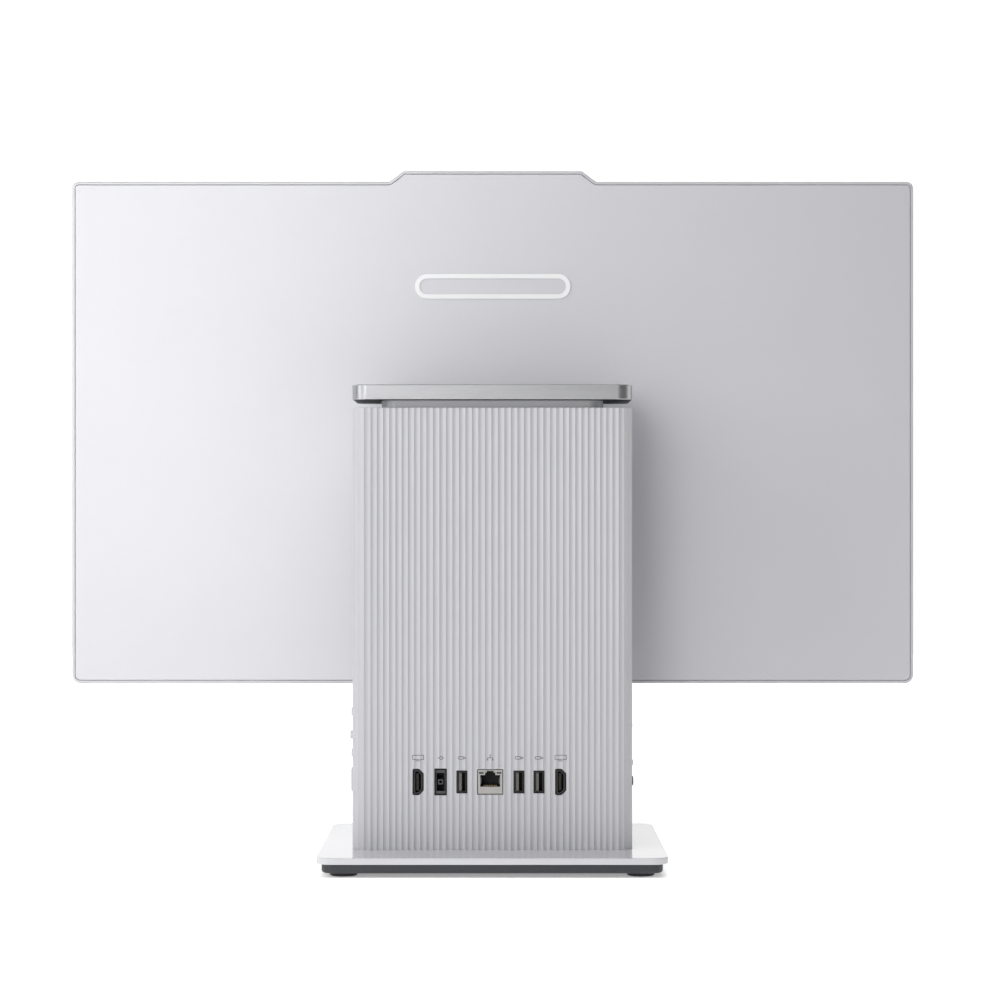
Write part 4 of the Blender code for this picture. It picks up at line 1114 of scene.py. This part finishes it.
# Each symbol's strokes, in millimetres about its middle, as seen from behind
SYMBOLS = {
    "hdmi": chain((-3.4, 1.6), (3.4, 1.6), (3.4, -1.0), (-3.4, -1.0), (-3.4, 1.6))
    + chain((-1.6, -1.8), (1.6, -1.8)),
    "power": chain((-1.9, 0.0), (-0.5, 0.0)) + chain((2.1, 0.0), (1.3, 0.0))
    + ring_of(0.4, 0.0, 0.95),
    "lan": chain((-0.5, 1.75), (0.5, 1.75)) + chain((0.0, 1.7), (0.0, 0.0))
    + chain((-1.6, -1.1), (-1.6, 0.0), (1.6, 0.0), (1.6, -1.1))
    + chain((-2.1, -1.35), (-1.1, -1.35)) + chain((1.1, -1.35), (2.1, -1.35)),
    "usb": chain((1.0, 0.75), (-2.2, 0.75), (-2.2, -0.75), (1.0, -0.75), (1.0, 0.75))
    + chain((1.0, 0.4), (2.3, 0.4), (2.3, -0.4), (1.0, -0.4)),
}


def make_symbols():
    """A plain symbol above each rear port, printed on the flutes."""
    surface_at = rear_surface()
    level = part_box("lan_port")[1].z + 7.3 * MM
    bm = bmesh.new()
    for node, kind in REAR_PORTS.items():
        x = centre_of(node).x
        for (u0, v0), (u1, v1) in SYMBOLS[kind]:
            start = (x - u0 * MM, level + v0 * MM)
            add_stroke(bm, surface_at, start, (x - u1 * MM, level + v1 * MM), SYMBOL_LINE)
    symbols = finished("port_symbols", bm, "print")
    stands_for(symbols, "root", "fluted_plastic")


# --- camera ---


def make_webcam():
    """The lens in its barrel and the ribbed sliding shutter."""
    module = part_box("camera_module")
    shutter_low, shutter_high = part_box("camera_shutter")
    centre = (0.0, (shutter_low.z + shutter_high.z) / 2)
    front = module[0].y
    bm = bmesh.new()
    barrel = [
        (1.95 * MM, front + MM), (1.95 * MM, front - 0.15 * MM), (1.8 * MM, front - 0.25 * MM),
        (1.25 * MM, front - 0.2 * MM), (1.1 * MM, front - 0.05 * MM),
    ]
    add_turned(bm, centre, "Y", barrel, 40, 0)
    radius, rise = 1.08 * MM, 0.2 * MM
    dome = [(radius, front - 0.02 * MM)]
    for a in (0.1, 0.5, 0.9, 1.3):
        dome.append((radius * math.cos(a), front - 0.04 * MM - rise * math.sin(a)))
    add_turned(bm, centre, "Y", dome, 40, 1)
    lens = finished("camera_lens", bm, "port_black", "lens")
    stands_for(lens, "display", "black_plastic")
    bm = bmesh.new()
    face = shutter_low.y + 0.6 * MM
    add_block(
        bm, (shutter_low.x, face, shutter_low.z), (shutter_high.x, shutter_high.y, shutter_high.z),
        0.3 * MM, 0, "Y",
    )
    for k in range(3):
        x = shutter_low.x + (1.2 + k * 0.9) * MM
        add_block(
            bm, (x, shutter_low.y, shutter_low.z + 0.6 * MM),
            (x + 0.45 * MM, face + 0.1 * MM, shutter_high.z - 0.6 * MM), 0.15 * MM, 0, "Y",
        )
    shutter = finished("camera_shutter_slider", bm, "dark_plastic")
    stands_for(shutter, "camera_shutter", "dark_plastic", "camera_shutter")


# --- assembly ---


def give_cad_finishes():
    """Every node that stays gets the procedural finish of its slot."""
    slots = {s["node"]: s["material_slot"] for s in frame["record"]["subparts"]}
    for name, node in frame["nodes"].items():
        for slot in node.material_slots:
            slot.material = finishes_by_name[slots[name]]


# --- stage ---


def seen_or_felt(nodes, links, felt, seen):
    """One value for rays from the camera and another for every other ray."""
    path = nodes.new("ShaderNodeLightPath")
    choice = nodes.new("ShaderNodeMapRange")
    choice.inputs["To Min"].default_value = felt
    choice.inputs["To Max"].default_value = seen
    links.new(path.outputs["Is Camera Ray"], choice.inputs["Value"])
    return choice.outputs["Result"]


def distance_out(nodes, links):
    """How far a floor point is from the middle, the same all along the base's edge."""
    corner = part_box("base_plate")[1]
    place = nodes.new("ShaderNodeTexCoord")
    sides = nodes.new("ShaderNodeVectorMath")
    sides.operation = "ABSOLUTE"
    links.new(place.outputs["Object"], sides.inputs[0])
    split = nodes.new("ShaderNodeSeparateXYZ")
    links.new(sides.outputs["Vector"], split.inputs["Vector"])
    wide = nodes.new("ShaderNodeMath")
    wide.operation = "SUBTRACT"
    wide.inputs[1].default_value = corner.x - corner.y
    links.new(split.outputs["X"], wide.inputs[0])
    reach = nodes.new("ShaderNodeMath")
    reach.operation = "MAXIMUM"
    links.new(wide.outputs["Value"], reach.inputs[0])
    links.new(split.outputs["Y"], reach.inputs[1])
    return reach.outputs["Value"]


def make_floor():
    """Pale paper, brighter to the camera than to the object except close round the base, where a
    painted contact shadow makes it dimmer to the camera.
    """
    bm = bmesh.new()
    bmesh.ops.create_grid(bm, x_segments=8, y_segments=8, size=2.5)
    finish, nodes, links, shader = blank_material("floor_paper_painted_shadow")
    drift = noise_of(nodes, links, 1.5, 2.0)
    links.new(
        blended(nodes, links, drift, (0.9, 0.9, 0.9), (0.93, 0.93, 0.93)),
        shader.inputs["Base Color"],
    )
    shader.inputs["Roughness"].default_value = 0.9
    shader.inputs["Specular IOR Level"].default_value = 0.0
    shader.inputs["Emission Color"].default_value = (1, 1, 1, 1)
    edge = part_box("base_plate")[1].y
    # Painted contact shadow: what the camera sees of the floor dims towards the base's edge.
    seen = nodes.new("ShaderNodeMapRange")
    seen.inputs["From Min"].default_value = edge - 4 * MM
    seen.inputs["From Max"].default_value = edge + MM
    seen.inputs["To Min"].default_value = FLOOR_PAINTED_SHADOW
    seen.inputs["To Max"].default_value = FLOOR_SEEN
    links.new(distance_out(nodes, links), seen.inputs["Value"])
    strength = seen_or_felt(nodes, links, FLOOR_FELT, FLOOR_SEEN)
    links.new(seen.outputs["Result"], strength.node.inputs["To Max"])
    links.new(strength, shader.inputs["Emission Strength"])
    finishes_by_name["floor"] = finish
    floor = finished("floor", bm, "floor")
    floor.location.z = -0.05 * MM


def make_world():
    """White where the camera looks past the object, and a dimmer fill for everything else."""
    world = bpy.data.worlds.new("studio")
    bpy.context.scene.world = world
    world.use_nodes = True
    nodes, links = world.node_tree.nodes, world.node_tree.links
    background = nodes["Background"]
    background.inputs["Color"].default_value = (1, 1, 1, 1)
    strength = seen_or_felt(nodes, links, ROOM_FELT, ROOM_SEEN)
    links.new(strength, background.inputs["Strength"])


def make_camera():
    data = bpy.data.cameras.new("camera")
    data.sensor_width = 36
    data.lens = LENS_MM
    data.shift_y = SHIFT_UP
    camera = bpy.data.objects.new("camera", data)
    camera.location = (VIEW_X, VIEW_DISTANCE, VIEW_HEIGHT)
    camera.rotation_euler = (math.pi / 2, 0, math.pi)
    link(camera)
    bpy.context.scene.camera = camera


def softbox(name, turn, rise, distance, width, height, power, height_aimed=0.25):
    """A light at an angle from +Y towards +X and an angle above the floor, facing the object."""
    data = bpy.data.lights.new(name, "AREA")
    data.shape = "RECTANGLE"
    data.size = width
    data.size_y = height
    data.energy = power
    light = bpy.data.objects.new(name, data)
    turn, rise = math.radians(turn), math.radians(rise)
    level = math.cos(rise)
    way = Vector((math.sin(turn) * level, math.cos(turn) * level, math.sin(rise)))
    light.location = Vector((0, 0, height_aimed)) + way * distance
    light.rotation_euler = (-way).to_track_quat("-Z", "Y").to_euler()
    light.visible_camera = False
    link(light)


def make_lights():
    """A key from the rear left, soft light from above, and wide panels round the front."""
    softbox("key_rear", 12, 12, 1.7, 0.45, 0.9, 4.25)
    softbox("rear_15", 15, 6, 2.6, 0.6, 1.3, 3.2)
    softbox("rear_25", 25, 6, 2.6, 0.6, 1.3, 2.9)
    softbox("rear_35", 35, 6, 2.6, 0.6, 1.3, 0.9)
    softbox("side_left", 60, 20, 1.3, 0.5, 1.0, 6.0)
    softbox("overhead_rear", 0, 55, 2.0, 1.6, 1.0, 7.3)
    softbox("overhead_left", 60, 50, 2.0, 1.2, 1.0, 4.5)
    softbox("low_left", 25, -3, 1.6, 0.8, 0.3, 0.8)
    softbox("backdrop", 180, 5, 2.6, 5.0, 2.0, 38.0, 0.3)
    softbox("front_left", 118, 8, 2.0, 1.3, 1.4, 10.0)
    softbox("front_right", -104, 8, 2.0, 1.6, 1.4, 11.0)


finishes_by_name = make_materials()
column_sizes_now = column_sizes()
bpy.context.scene.view_settings.view_transform = "Standard"
give_cad_finishes()
make_rear_shell()
make_front_shell()
make_arm()
make_neck()
make_hinge_cover()
make_base()
make_display_back()
make_rim()
make_front()
make_rear_ports()
make_side_usb()
make_usb_c()
make_jack()
make_status_light()
make_side_buttons()
make_symbols()
make_webcam()
make_floor()
make_world()
make_lights()
make_camera()
